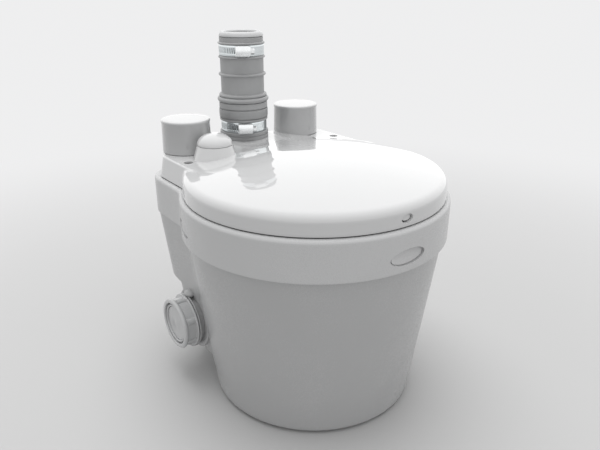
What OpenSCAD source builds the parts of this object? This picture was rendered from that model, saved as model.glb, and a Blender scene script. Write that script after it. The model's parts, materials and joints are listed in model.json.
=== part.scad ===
// Grey water macerator pump: a floor-standing tank with a pump inside, a rubber
// discharge hose on top, two capped inlets on the deck and two blanked side inlets.
// Origin: on the floor, on the axis of the round part of the tank. The front faces -Y.

/* [Tank] */
// Outer radius of the round collar at the top of the tank
collar_r = 142.4; // [140:0.1:146]
// How much smaller the drum's radius is at the floor than the collar's
drum_taper = 29.1; // [26:0.1:32]
// How far the round collar stands out past the wall under it
lip_depth = 4.6; // [3:0.1:6]
// Height of the collar's lower edge above the floor
lip_z = 190; // [184:1:194]
// Height of the collar
collar_h = 42; // [38:1:48]
// Radius of the rounded top edge of the collar
rim_round = 4; // [2:0.5:4.5]
// How much narrower than the drum each half of the rear box is at the floor
box_in = 10.3; // [9:0.1:13]
// Slope of the rear box's walls, in mm per mm of height
box_draft = 0.088; // [0.07:0.001:0.095]
// How far the rear wall under the collar lies behind a circle of the collar's radius
box_depth = 29.6; // [28:0.1:34]
// Radius of the box's upright rear corners
corner_r = 45; // [35:1:50]
// How far the collar stands out past the box walls
box_lip = 1.3; // [0.8:0.1:2]
// How far the lower rear wall steps forward
step_depth = 19; // [16:0.5:21]
// Height of the step in the rear wall
step_z = 106.5; // [95:0.5:108]
// Height of the rear box's underside above the floor
box_foot_z = 33; // [24:0.5:34]
// Radius of the round well that reaches down under the riser
well_r = 32; // [31.5:0.1:33]
// Thickness of the tank wall
wall = 3.5; // [3:0.1:4]
// Thickness of the tank floor
floor_t = 3.5; // [3:0.1:5]
// Radius of the edge between the floor and the round wall
floor_edge = 5; // [3:0.5:8]
// Thickness of the shelf round the tank's mouth
shelf_t = 6; // [4:0.5:7]

/* [Feet] */
// Height of the gap under the tank that the rubber pads leave
foot_h = 2; // [1.5:0.1:3]
// Radius of a rubber pad
foot_r = 12; // [8:0.5:14]
// Depth of the pocket that holds a pad
foot_pocket = 1.5; // [1:0.1:2]

/* [Lid] */
// Width of the collar's ledge outside the lid
ledge = 4.4; // [3.5:0.1:5.5]
// Height of the seal between the collar and the lid
seam_gap = 1.3; // [1:0.1:2]
// Height of the flat deck above the lid's lower edge
deck_h = 22.7; // [20:0.1:26]
// Height of the dome's crown above the deck
dome_h = 12.6; // [10:0.1:14]
// Radius of the dome's sphere
dome_r = 600; // [560:5:700]
// Radius of the lid's rounded top edge
lid_edge = 7; // [5:0.5:9]
// Draft of the lid's sides, over the deck's height
lid_draft = 4.5; // [3:0.1:5]
// Wall thickness of the lid
lid_wall = 3; // [2.5:0.1:3.5]
// Width of the collar's ledge beside the deck
deck_ledge = 5; // [4:0.1:6]
// Distance from the collar's rear to the deck's rear wall
deck_setback = 23.8; // [21:0.1:26]
// Radius of the deck's rear corners
deck_corner = 22; // [16:0.5:26]
// Height of the raised middle of the deck above its flat sides
saddle_h = 5.8; // [4:0.1:6.5]
// Half width of the raised middle at its top
saddle_half = 34; // [32:0.5:38]
// Half width of the raised middle at its foot
saddle_foot = 78; // [70:0.5:80]
// Length of the raised middle in front of the deck's rear wall
saddle_l = 83; // [75:1:88]
// Width of the seal
seal_w = 3.6; // [3:0.1:4]
// How far the seal stands back from the lid's edge
seal_back = 1.2; // [0.8:0.1:1.6]

/* [Lid screws] */
// Distance of each screw in from the deck's side
screw_in = 14.8; // [14:0.1:17]
// Distance of the screws in front of the hose's axis
screw_fore = 49; // [45:0.1:53]
// Radius of the screw's hole in the deck
screw_hole_r = 5; // [4.6:0.1:5.5]
// Radius of the screw's head
screw_head_r = 4.2; // [3.8:0.1:4.4]
// Radius of the screw's shank
screw_r = 2; // [1.8:0.05:2.2]
// Length of the screw's shank
screw_l = 24; // [18:1:28]

/* [Front recesses] */
// Half length of the oval recesses in the collar
oval_a = 21.5; // [18:0.5:24]
// Half height of the oval recesses in the collar
oval_b = 7.8; // [6:0.1:9]
// Depth of the oval recesses
oval_depth = 2.6; // [2:0.1:3]
// Direction of the two side recesses, from the front
oval_turn = 107; // [100:1:110]
// Half length of the small recess in the lid's front
notch_a = 6.6; // [5:0.1:8]
// Half height of the small recess in the lid's front
notch_b = 3.8; // [3:0.1:4.5]
// Depth of the small recess
notch_depth = 1.6; // [1:0.1:2]

/* [Top inlets] */
// Distance of each top inlet in from the deck's side
cap_in = 38.8; // [37:0.1:41]
// Distance of the inlets and the hose in front of the deck's rear wall
service_in = 10.7; // [9.5:0.1:12]
// Outer radius of an inlet cap at its foot
cap_r = 28; // [27:0.1:28.4]
// Height of an inlet cap above the deck
cap_h = 35; // [30:0.5:40]
// How much narrower the cap is at its top
cap_taper = 0.8; // [0.4:0.1:1.5]
// Wall thickness of an inlet cap
cap_wall = 3; // [2:0.1:3.4]
// Outer radius of the inlet tube under the cap
sleeve_r = 24; // [23:0.1:24.2]
// Bore radius of the inlet tube
sleeve_bore = 20.5; // [19:0.1:21.5]
// Radius of the lid's boss round an inlet tube
cap_boss_r = 29.3; // [29:0.1:30]

/* [Vent] */
// How much nearer than a cap the vent is to the middle plane
vent_in = 9.2; // [8:0.1:11]
// Distance of the vent in front of the hose's axis
vent_fore = 48.8; // [48:0.1:52]
// Radius of the vent's cone at the deck
vent_r = 24.4; // [22:0.1:25]
// Radius of the vent's cone under its cap
vent_top_r = 19.6; // [18:0.1:21]
// Height of the cone above the deck
vent_h = 15; // [13:0.5:17]
// Height of the vent's domed cap
vent_cap_h = 12.5; // [10:0.5:14]
// Bore radius of the vent
vent_bore = 15; // [12:0.5:16]

/* [Discharge hose] */
// Outer radius of the hose's plain upper tube
hose_r = 24.9; // [24.4:0.1:25.4]
// Outer radius of the hose's lower part
hose_low_r = 28; // [27.5:0.1:28.5]
// Bore radius at the upper end, for the discharge pipe
hose_bore = 19; // [18:0.1:20]
// Radius of the lid's outlet tube inside the hose
spigot_r = 22; // [21:0.1:22.6]
// Bore radius of the outlet tube
spigot_bore = 18; // [16.5:0.1:18.5]
// Height of the outlet tube above the raised deck
spigot_up = 38; // [32:1:40]
// Height that a rib of the hose stands out
rib_out = 2; // [1.5:0.1:2.4]
// Radius of the hose's middle flange
hose_flange_r = 30; // [29.5:0.1:30.4]

/* [Hose clips] */
// Width of a clip's steel band
band_w = 12; // [9:0.5:12.5]
// Thickness of the band
band_t = 0.8; // [0.6:0.1:1]
// Length of the worm housing
worm_l = 15; // [13:0.5:17]
// Radius of the worm screw
worm_r = 3.4; // [3:0.1:3.6]
// Direction that the worm housings face, from the front towards the left
clip_turn = 27; // [0:1:60]

/* [Side inlets] */
// Distance of the side inlets in front of the hose's axis
inlet_fore = 53.3; // [51:0.1:56]
// Height of the side inlets above the floor
inlet_z = 71; // [66:0.5:74]
// How far a nut's front face stands out past the foot of the box's side
inlet_out = 32; // [30:0.5:34]
// Outer radius of a nut between its ribs
nut_r = 29.4; // [29:0.1:30]
// Length of a nut
nut_l = 17; // [15.5:0.5:18]
// Radius of the nut's front opening
nut_mouth_r = 24.4; // [23:0.1:25]
// Outer radius of the threaded spigot
thread_r = 26.4; // [26:0.1:26.6]
// Bore radius of the spigot
inlet_bore = 21; // [19:0.1:21.5]
// Radius of the boss where the inlet meets the tank
inlet_boss_r = 35.5; // [34:0.5:36]
// Number of ribs on a nut
nut_ribs = 6; // [5:1:8]

/* [Pump] */
// Height of the pump casing above the tank floor
leg_h = 22; // [20:0.5:24]
// Outer radius of the pump casing
casing_r = 66; // [64:0.5:68]
// Inner radius of the pump chamber
chamber_r = 57; // [56:0.5:58.5]
// Inner height of the pump chamber
chamber_h = 18.5; // [17.5:0.5:20]
// Radius of the impeller
impeller_r = 50; // [44:0.5:53]
// Radius of the casing's suction eye
eye_r = 23; // [20:0.5:24]
// Outer radius of the cutter ring
cutter_r = 34; // [33:0.5:38]
// Inner radius of the cutter ring
cutter_bore = 27; // [26.5:0.5:29]
// Height of the cutter ring
cutter_h = 12; // [10:0.5:13]
// Bore radius of the pump's outlet and the riser
pipe_bore = 15.5; // [14:0.5:16]
// Wall thickness of the pump's outlet and the riser
pipe_wall = 3; // [2.5:0.1:3.5]

/* [Motor] */
// Outer radius of the motor housing
motor_r = 54; // [53:0.5:55.5]
// Height of the motor housing
motor_h = 102; // [98:1:106]
// Wall thickness of the motor housing
motor_wall = 3; // [2:0.1:3.5]
// Radius of the motor shaft
shaft_r = 6; // [5.5:0.1:6.5]
// Outer radius of the rotor
rotor_r = 29.6; // [27:0.1:31]
// Height of the rotor and stator stack
stack_h = 44; // [36:1:48]

/* [Controls] */
// Length of the control box
box_l = 104; // [98:1:106]
// Width of the control box
box_w = 76; // [72:1:80]
// Height of the control box
box_h = 40; // [37:1:42]
// Radius of the capacitor
capacitor_r = 15; // [12:0.5:15.5]
// Outer radius of the air tube that senses the water level
air_r = 10; // [8:0.5:11]
// Radius of the pressure switch
switch_r = 20; // [19:0.5:21]
// Distance of the air tube outside the pump casing
air_out = 16; // [14:0.5:18]
// Length of the capacitor
capacitor_l = 60; // [50:1:70]
// Length of the terminal block
block_l = 44; // [36:1:50]
// Width and height of the terminal block
block_w = 14; // [10:0.5:15]
// Travel of the switch's plunger
plunger_travel = 1.5; // [1:0.1:1.6]
// Bore radius of the cable gland
gland_bore = 3.5; // [3:0.1:4.5]

/* [Hidden] */

// General clearances: between bodies, on a running fit and on a turning pin
gap = 0.3;
run = 0.05;
eps = 0.01;
$fn = 96;

// Heights of the tank and the lid
floor_z = foot_h + floor_t;
rim_z = lip_z + collar_h;
seam_z = rim_z + seam_gap;
deck_z = seam_z + deck_h;
saddle_z = deck_z + saddle_h;
dome_z = deck_z + dome_h;
cap_top = deck_z + cap_h;

// Plan sizes of the tank and the lid
floor_r = collar_r - drum_taper;
box_half = floor_r - box_in;
box_rear = collar_r + box_depth;
wall_top_r = collar_r - lip_depth;
lid_r = collar_r - ledge;
drum_slope = (wall_top_r - floor_r) / lip_z;
collar_half = side_x(lip_z) + box_lip;
collar_rear = box_rear + box_lip;
mouth_inset = seal_back + seal_w + 1.2;
deck_half = collar_half - deck_ledge;
deck_rear = collar_rear - deck_setback;
service_y = deck_rear - service_in;
cap_x = deck_half - cap_in;
vent_x = cap_x - vent_in;
vent_y = service_y - vent_fore;
screw_x = deck_half - screw_in;
screw_y = service_y - screw_fore;
inlet_y = service_y - inlet_fore;
inlet_face = box_half + inlet_out;
air_x = casing_r + air_out;
hose_boss_r = hose_flange_r + 0.5;

// Details of the tank
step_rise = 3.5;
oval_z = lip_z + 0.367 * collar_h;
under_round = 4;
pillar_r = 7;

// Distances of the side inlet's parts from the middle plane
inlet_inner = inlet_face - 37;
inlet_wall = side_x(inlet_z - inlet_boss_r) - wall + 1;
boss_out = side_x(inlet_z) + 2;
sleeve_out = inlet_bore + 2.5;
nut_rear = inlet_face - nut_l;
nut_lip = 3;
nut_rib_turn = 8;
nut_rib_w = 3.6;
nut_rib_out = 1;
blank_t = 2.7;
washer_t = 2;
washer_x = inlet_face - nut_lip - gap - blank_t - washer_t;
flap_t = 1.8;
flap_z = inlet_inner - gap - flap_t;
flap_hub = 12;
flap_pin_r = 1.5;
flap_pin_x = sleeve_out + 3.8;
flap_pin_z = flap_z + flap_t / 2;
ear_t = 3;
ear_at = flap_hub / 2 + gap + ear_t / 2;
flap_pin_l = ear_at + ear_t / 2;
flap_flat = inlet_bore - 0.2;

// Details of the lid
screw_seat = seam_z + 9;
filter_z = deck_z + 1;
vent_top = deck_z + vent_h;
notch_z = seam_z + 8.2;
gland_x = (hose_boss_r + cap_x - cap_boss_r) / 2;
gland_r = 5.6;
gland_z = seam_z + 12;
gland_rim = gland_r + 2;
gland_flange = 5;
gland_in = deck_rear_at(gland_z + gland_rim) - lid_wall - gland_flange;
gland_out = deck_rear_at(gland_z - gland_rim);
gland_l = gland_out + 9 - gland_in;

// Heights of the outlet, the valve and the hose
spigot_top = saddle_z + spigot_up;
valve_top = rim_z - shelf_t - 2;
valve_r = spigot_r + gap + 3;
spigot_z = valve_top - 12;
seal_at = valve_top - 6;
ring_h = 2.4;
ring_cut = 1.4;
valve_h = 66;
valve_z = valve_top - valve_h;
valve_pin_r = 1.2;
valve_pin_y = pipe_bore + 3.6;
valve_pin_z = valve_z + 6 + gap + 2;
valve_pin_l = 13;
hose_z = saddle_z;
hose_h = 122.2;
hose_lip = (hose_r - 0.3 - hose_bore) / 2;
low_clip_z = 9;
low_seat_r = hose_low_r - 1.6;
flange_z = 48;
top_clip_z = 96;

// Heights and radii of the pump
bush_h = 5;
leg_at = casing_r - 9;
casing_z = floor_z + leg_h;
casing_t = 4;
casing_h = casing_t + chamber_h;
pipe_r = pipe_bore + pipe_wall;
outlet_z = casing_z + casing_t + chamber_h / 2 - 1;
throat_y = casing_r + 2;
outlet_l = 14;
bolt_at = chamber_r + 4.6;
bolt_r = 2;
blade_z = casing_z - cutter_h + 2;
shaft_z = blade_z - 6;
blade_hub_r = 10;
vanes = 6;
vane_t = 3;
vane_c = 0.55 * impeller_r;
vane_r = 0.49 * impeller_r;
vane_start = vane_angle(shaft_r + 2);
vane_end = vane_angle(impeller_r - 1.6);
plate_z = casing_z + casing_h;
plate_t = 8;
seal_r = 12;
bearing_r = 16;
bearing_h = 10;

// Heights and radii of the motor and the controls
can_z = plate_z + plate_t;
can_r = motor_r - motor_wall;
stack_z = can_z + 30;
cover_z = can_z + motor_h;
cover_t = 5;
arm_w = 28;
box_z = cover_z + cover_t;
box_t = 2.5;
cover_h = 3;
switch_z = box_z + 3;
plunger_r = 3;
switch_h = 8;
membrane_t = 1.2;
cap_z = switch_z + switch_h + membrane_t;
switch_cap_h = 9;

// Path of the riser
socket_y = throat_y + 4;
riser_y = socket_y + outlet_l + pipe_r - 2;
riser_bends = [[0, riser_y, outlet_z], [0, riser_y, valve_z - 66], [0, service_y, valve_z - 24]];
foot_at = 0.55 * floor_r;
foot_places = [[0, 0], [-foot_at, -foot_at], [foot_at, -foot_at],
  [-foot_at, foot_at], [foot_at, foot_at], [0, riser_y]];
elbow_out = 1.6;
elbow_in = 0.8;

function wall_r(z) = floor_r + drum_slope * z;
function side_x(z) = box_half + box_draft * z;
function rear_y(z) = box_rear - box_draft * (lip_z - z);
function deck_rear_at(z) = deck_rear - lid_draft * (z - seam_z) / (deck_h - 2);
function low_rear_y(z) = rear_y(z) - step_depth;
function dome_at(r) = dome_z - (dome_r - sqrt(dome_r * dome_r - r * r));
// Angle about a vane's centre at which the vane is at distance d from the axis
function vane_angle(d) = acos((vane_c * vane_c + vane_r * vane_r - d * d) / (2 * vane_c * vane_r));
// Points of an arc about (cx, cy) from angle a to angle b
function arc(cx, cy, r, a, b, n) =
  [for (i = [0:n]) [cx + r * cos(a + (b - a) * i / n), cy + r * sin(a + (b - a) * i / n)]];

// Plan of the rear box, from the drum axis back
module box_plan(half, rear, corner) {
  translate([-half, 0]) square([2 * half, rear - corner]);
  translate([-(half - corner), 0]) square([2 * (half - corner), rear]);
  for (s = [-1, 1])
    translate([s * (half - corner), rear - corner]) circle(corner);
}

// A thin slice of the box at height z
module box_slice(z, half, rear, corner) {
  translate([0, 0, z]) linear_extrude(eps) box_plan(half, rear, corner);
}

// Plan of the lid's outer edge at the seam, drawn in by d
module lid_plan(d) {
  circle(lid_r - d);
  box_plan(deck_half - d, deck_rear - d, deck_corner - d);
  for (s = [-1, 1])
    translate([s * cap_x, service_y]) circle(cap_boss_r - d);
  translate([0, service_y]) circle(hose_boss_r - d);
}

// An oval prism that stands along -Y, with half axes a and b
module oval_cutter(a, b, depth) {
  rotate([90, 0, 0])
    linear_extrude(depth)
      polygon([for (i = [0:47]) [a * cos(i * 7.5), b * sin(i * 7.5)]]);
}

// A tube along +Z
module tube(r_out, r_in, h) {
  difference() {
    cylinder(r = r_out, h = h);
    translate([0, 0, -1]) cylinder(r = r_in, h = h + 2);
  }
}

// Places a child made along +Z at a side inlet, s = -1 on the left and 1 on the right:
// local +Z points outwards from the middle plane and local +X points up
module at_inlet(s) {
  mirror([s > 0 ? 1 : 0, 0, 0])
    translate([0, inlet_y, inlet_z]) rotate([0, -90, 0]) children();
}

// Lower and upper parts of the tapered rear box, drawn in by d
module box_lower(z0, z1, d) {
  z_round = z0 + under_round;
  hull() {
    box_slice(z0, side_x(z0) - d - under_round, low_rear_y(z0) - d - under_round,
      corner_r - d - under_round);
    box_slice(z0 + 0.3 * under_round, side_x(z0) - d - 0.3 * under_round,
      low_rear_y(z0) - d - 0.3 * under_round, corner_r - d - 0.3 * under_round);
    box_slice(z_round, side_x(z_round) - d, low_rear_y(z_round) - d, corner_r - d);
    box_slice(z1 - eps, side_x(z1) - d, low_rear_y(z1) - d, corner_r - d);
  }
}
module box_upper(z0, z1, d) {
  z_mid = z0 + step_rise;
  hull() {
    box_slice(z0, side_x(z0) - d, low_rear_y(z0) - d, corner_r - d);
    box_slice(z_mid, side_x(z_mid) - d, rear_y(z_mid) - d, corner_r - d);
    box_slice(z1 - eps, side_x(z1) - d, rear_y(z1) - d, corner_r - d);
  }
}

// The tank and what is moulded with it
module tank() {
  color([0.72, 0.73, 0.74]) {
    difference() {
      union() {
        tank_outer();
        for (s = [-1, 1]) at_inlet(s) inlet_outer();
      }
      tank_hollow();
      for (s = [-1, 1])
        at_inlet(s) translate([0, 0, inlet_inner]) cylinder(r = inlet_bore, h = inlet_face);
      for (t = [0, oval_turn, -oval_turn])
        rotate([0, 0, t])
          translate([0, oval_depth - collar_r, oval_z]) oval_cutter(oval_a, oval_b, 20);
      for (p = foot_places)
        translate([p[0], p[1], foot_h - 1]) cylinder(r = foot_r, h = foot_pocket + 1);
    }
    for (s = [-1, 1]) at_inlet(s) inlet_sleeve();
    for (s = [-1, 1]) screw_boss(s);
  }
}

module tank_outer() {
  rotate_extrude()
    polygon(concat(
      [[0, foot_h]],
      arc(wall_r(foot_h) - floor_edge, foot_h + floor_edge, floor_edge, -90, -8, 5),
      [[wall_top_r, lip_z], [collar_r, lip_z]],
      arc(collar_r - rim_round, rim_z - rim_round, rim_round, 0, 90, 4),
      [[0, rim_z]]));
  translate([0, riser_y, foot_h]) cylinder(r = well_r, h = box_foot_z + under_round - foot_h);
  box_lower(box_foot_z, step_z + 1, 0);
  box_upper(step_z, lip_z + 1, 0);
  hull() {
    box_slice(lip_z, collar_half, collar_rear, corner_r);
    box_slice(rim_z - rim_round, collar_half, collar_rear, corner_r);
    box_slice(rim_z - 0.3 * rim_round, collar_half - 0.3 * rim_round,
      collar_rear - 0.3 * rim_round, corner_r - 0.3 * rim_round);
    box_slice(rim_z - eps, collar_half - rim_round, collar_rear - rim_round, corner_r - rim_round);
  }
}

// The boss, the thin flange and the threaded spigot of a side inlet
module inlet_outer() {
  translate([0, 0, inlet_wall]) cylinder(r = inlet_boss_r, h = boss_out - inlet_wall);
  translate([0, 0, boss_out]) cylinder(r1 = inlet_boss_r, r2 = inlet_boss_r - 2, h = 1.5);
  translate([0, 0, inlet_wall]) cylinder(r = thread_r, h = washer_x - inlet_wall);
  translate([0, 0, nut_rear - gap - 2]) cylinder(r = nut_r + 1.6, h = 2);
}

module tank_hollow() {
  translate([0, 0, floor_z])
    cylinder(r1 = wall_r(floor_z) - wall, r2 = wall_top_r - wall, h = lip_z - floor_z);
  translate([0, riser_y, floor_z]) cylinder(r = well_r - wall, h = box_foot_z + 2 * under_round - floor_z);
  box_lower(box_foot_z + floor_t, step_z + step_rise, wall);
  box_upper(step_z + wall, rim_z - shelf_t, wall);
  translate([0, 0, lip_z - 1]) linear_extrude(collar_h + 2) lid_plan(mouth_inset);
}

// The sleeve inside the wall that carries the inlet flap, with the ears of its pin
module inlet_sleeve() {
  difference() {
    union() {
      translate([0, 0, inlet_inner]) cylinder(r = sleeve_out, h = inlet_wall + 2 - inlet_inner);
      for (e = [-1, 1]) translate([0, e * ear_at - ear_t / 2, 0]) {
        translate([inlet_bore + 1, 0, inlet_inner]) cube([flap_pin_x + 3 - inlet_bore - 1, ear_t, 6]);
        translate([sleeve_out + 0.2, 0, flap_pin_z - 3])
          cube([flap_pin_x + 3 - sleeve_out - 0.2, ear_t, inlet_inner + 6 - flap_pin_z + 3]);
      }
    }
    translate([0, 0, inlet_inner - 1]) cylinder(r = inlet_bore, h = inlet_face);
    translate([flap_pin_x, -flap_pin_l, flap_pin_z]) rotate([-90, 0, 0])
      cylinder(r = flap_pin_r, h = 2 * flap_pin_l, $fn = 32);
  }
}

// A pillar on the tank wall that takes one of the lid's screws
module screw_boss(s) {
  z0 = rim_z - screw_l - 4;
  difference() {
    union() {
      translate([s * screw_x, screw_y, z0]) cylinder(r = pillar_r, h = rim_z - z0);
      translate([s * (screw_x + collar_half - 3) / 2, screw_y, (z0 + rim_z) / 2])
        cube([collar_half - 3 - screw_x, pillar_r, rim_z - z0], center = true);
    }
    translate([s * screw_x, screw_y, z0 + 2]) cylinder(r = screw_r + gap, h = screw_l + 4);
  }
}

// Rubber pads in pockets under the tank
module tank_feet() {
  color([0.2, 0.2, 0.21])
    for (p = foot_places)
      translate([p[0], p[1], 0]) cylinder(r = foot_r, h = foot_h + foot_pocket);
}

// The lid: a domed round cover and a flat deck in one moulding
module lid() {
  color([0.93, 0.94, 0.95])
  difference() {
    union() {
      difference() {
        lid_skin(0);
        translate([0, 0, -eps]) lid_skin(lid_wall);
      }
      for (s = [-1, 1]) {
        translate([s * cap_x, service_y, seam_z]) tube(cap_boss_r, sleeve_r, deck_h);
        translate([s * screw_x, screw_y, seam_z]) cylinder(r = pillar_r, h = deck_h - 1);
      }
      translate([0, service_y, seam_z]) tube(hose_boss_r, spigot_r, saddle_z - seam_z);
      translate([-vent_x, vent_y, deck_z - 6]) cylinder(r1 = vent_r + 1.6, r2 = vent_top_r, h = vent_h + 6);
    }
    for (s = [-1, 1]) {
      translate([s * cap_x, service_y, seam_z - 1]) cylinder(r = sleeve_r, h = deck_h + 2);
      translate([s * cap_x, service_y, deck_z]) cylinder(r = cap_r + gap, h = deck_h);
      translate([s * screw_x, screw_y, seam_z - 1]) cylinder(r = screw_r + gap, h = deck_h);
      translate([s * screw_x, screw_y, screw_seat]) cylinder(r = screw_hole_r, h = deck_h);
    }
    translate([0, service_y, seam_z - 1]) cylinder(r = spigot_r, h = 2 * deck_h);
    translate([-vent_x, vent_y, deck_z - 8]) cylinder(r = vent_bore - 3, h = 30);
    translate([-vent_x, vent_y, filter_z]) cylinder(r = vent_bore, h = 30);
    translate([0, notch_depth - lid_r, notch_z]) oval_cutter(notch_a, notch_b, 20);
    translate([gland_x, gland_in, gland_z]) rotate([-90, 0, 0]) {
      cylinder(r = gland_r, h = gland_l, $fn = 48);
      translate([0, 0, -2]) cylinder(r = gland_rim + gap, h = gland_flange + 2, $fn = 48);
      translate([0, 0, gland_out - gland_in]) cylinder(r = gland_rim + gap, h = deck_corner, $fn = 48);
    }
  }
}

// The lid's outer skin, drawn in by d
module lid_skin(d) {
  rotate_extrude()
    polygon(concat(
      [[0, seam_z], [lid_r - d, seam_z]],
      arc(lid_r - 1 - lid_edge, dome_at(lid_r - lid_edge) - lid_edge, lid_edge - d, 0, 78, 5),
      [for (i = [9:-1:1]) [i * 12.6, dome_at(i * 12.6) - d]],
      [[0, dome_z - d]]));
  hull() {
    box_slice(seam_z, deck_half - d, deck_rear - d, deck_corner - d);
    box_slice(deck_z - 2, deck_half - 0.9 * lid_draft - d, deck_rear - lid_draft - d, deck_corner - d);
    box_slice(deck_z - d - eps, deck_half - 0.9 * lid_draft - 2 - d, deck_rear - lid_draft - 2 - d,
      deck_corner - 2 - d);
  }
  translate([0, deck_rear - lid_draft - 2 - d, 0]) rotate([90, 0, 0])
    linear_extrude(saddle_l - d)
      polygon([[-saddle_foot, seam_z], [-saddle_foot, deck_z - d], [-saddle_half, saddle_z - d],
        [saddle_half, saddle_z - d], [saddle_foot, deck_z - d], [saddle_foot, seam_z]]);
}

// The rubber seal between the collar and the lid
module lid_seal() {
  color([0.16, 0.16, 0.17])
    translate([0, 0, rim_z]) linear_extrude(seam_gap)
      difference() {
        lid_plan(seal_back);
        lid_plan(seal_back + seal_w);
      }
}

module lid_screws() {
  color([0.6, 0.61, 0.63])
    for (s = [-1, 1])
      translate([s * screw_x, screw_y, 0]) {
        difference() {
          translate([0, 0, screw_seat]) cylinder(r = screw_head_r, h = 3);
          translate([0, 0, screw_seat + 1.6]) cube([5, 1, 3], center = true);
          translate([0, 0, screw_seat + 1.6]) cube([1, 5, 3], center = true);
        }
        translate([0, 0, screw_seat - screw_l]) cylinder(r = screw_r, h = screw_l);
      }
}

// The two inlet tubes under the top caps
module top_inlet_sleeves() {
  color([0.75, 0.76, 0.77])
    for (s = [-1, 1])
      translate([s * cap_x, service_y, seam_z + 3]) tube(sleeve_r, sleeve_bore, deck_h - 3 + cap_h - 6);
}

// A pull-off cap on a top inlet
module top_cap(s) {
  translate([s * cap_x, service_y, deck_z + gap])
    rotate_extrude()
      polygon(concat(
        [[sleeve_r + gap, 0], [cap_r, 0]],
        arc(cap_r - cap_taper - 2, cap_h - gap - 2, 2, 0, 90, 4),
        [[0, cap_h - gap], [0, cap_h - gap - cap_wall], [sleeve_r + gap, cap_h - gap - cap_wall]]));
}
module top_cap_left() { color([0.74, 0.75, 0.76]) top_cap(-1); }
module top_cap_right() { color([0.74, 0.75, 0.76]) top_cap(1); }

// The charcoal cartridge in the vent
module vent_filter() {
  color([0.12, 0.12, 0.13])
    translate([-vent_x, vent_y, filter_z]) cylinder(r = vent_bore, h = vent_top - filter_z - 2);
}

// The vent's domed cap, with a skirt that sits in the vent's bore
module vent_cap() {
  sphere_r = (vent_top_r * vent_top_r + vent_cap_h * vent_cap_h) / (2 * vent_cap_h);
  color([0.93, 0.94, 0.95])
    translate([-vent_x, vent_y, vent_top + gap])
      rotate_extrude()
        polygon(concat(
          [[0, 0.5], [vent_bore - gap - 2, 0.5], [vent_bore - gap - 2, -1.5],
            [vent_bore - gap, -1.5], [vent_bore - gap, 0], [vent_top_r - 0.4, 0]],
          [for (i = [0:8]) let (a = 90 * i / 8 * cap_share(sphere_r) + 90 * (1 - cap_share(sphere_r)))
            [sphere_r * cos(a) * (vent_top_r - 0.2) / vent_top_r,
              vent_cap_h - sphere_r + sphere_r * sin(a)]]));
}
function cap_share(r) = acos((r - vent_cap_h) / r) / 90;

// The gland in the deck's rear wall, left empty
module cable_gland() {
  color([0.25, 0.25, 0.26])
    translate([gland_x, gland_in, gland_z]) rotate([-90, 0, 0])
      difference() {
        union() {
          cylinder(r = gland_r, h = gland_l, $fn = 48);
          cylinder(r = gland_rim, h = gland_flange, $fn = 6);
        }
        translate([0, 0, -1]) cylinder(r = gland_bore, h = gland_l + 2, $fn = 48);
      }
}
module cable_gland_nut() {
  color([0.25, 0.25, 0.26])
    translate([gland_x, gland_out, gland_z]) rotate([-90, 0, 0])
      difference() {
        cylinder(r = gland_rim, h = 6, $fn = 6);
        translate([0, 0, -1]) cylinder(r = gland_r, h = 8, $fn = 48);
      }
}

// The outlet tube: it seals in the valve body below and carries the hose above
module outlet_spigot() {
  color([0.7, 0.71, 0.72])
    translate([0, service_y, spigot_z]) difference() {
      cylinder(r = spigot_r, h = spigot_top - spigot_z);
      translate([0, 0, -1]) cylinder(r = spigot_bore, h = spigot_top - spigot_z + 2);
      translate([0, 0, seal_at - spigot_z]) tube(spigot_r + 1, spigot_r - ring_cut, ring_h);
    }
}
module outlet_seal() {
  color([0.1, 0.1, 0.1])
    translate([0, service_y, seal_at]) tube(spigot_r + gap - run, spigot_r - ring_cut, ring_h);
}

// The rubber discharge hose: one ribbed tube with a bore for the pipe above and
// for the outlet tube below. Its heights are counted up from its foot.
module discharge_hose() {
  color([0.55, 0.56, 0.57])
    translate([0, service_y, hose_z])
      rotate_extrude()
        polygon(concat(
          [[spigot_r, 0], [hose_low_r, 0]],
          rib(2.2, hose_low_r, 2.2, 1.2), rib(6.6, hose_low_r - 0.6, 1.9, 1.2),
          [[low_seat_r, low_clip_z - 0.7], [low_seat_r, low_clip_z + band_w + 0.7]],
          rib(low_clip_z + band_w + 2.6, hose_low_r - 0.6, 1.9, 1.2),
          rib(low_clip_z + band_w + 8.4, hose_low_r, 3.4, 1.4),
          [[hose_low_r, flange_z - 15], [hose_low_r - 0.5, flange_z - 14.5],
            [hose_low_r, flange_z - 14]],
          rib(flange_z - 9, hose_low_r, 1.9, 1.1),
          [[hose_low_r - 0.8, flange_z - 6.4]],
          arc(hose_flange_r - 2.6, flange_z - 3, 2.6, -80, 60, 6),
          arc(hose_flange_r - 4.6, flange_z + 1.2, 2.2, -30, 70, 4),
          [[hose_r, flange_z + 5]],
          rib(flange_z + 26.5, hose_r, 2.6, rib_out),
          rib(top_clip_z - 2.6, hose_r, 1.8, rib_out - 0.2),
          [[hose_r, top_clip_z - 0.7], [hose_r, top_clip_z + band_w + 0.7]],
          rib(top_clip_z + band_w + 2.4, hose_r, 1.7, rib_out - 0.2),
          [[hose_r, hose_h - 6.4], [hose_r - 0.7, hose_h - 5.9], [hose_r - 0.3, hose_h - 5.4]],
          arc(hose_bore + hose_lip, hose_h - hose_lip, hose_lip, 0, 180, 8),
          [[hose_bore, spigot_top - hose_z + 4],
            [spigot_r, spigot_top - hose_z + gap]]));
}
// Profile of one rounded rib at height z on a wall of radius r
function rib(z, r, half, out) = [for (i = [0:6]) [r + out * sin(i * 30), z - half * cos(i * 30)]];

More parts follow.
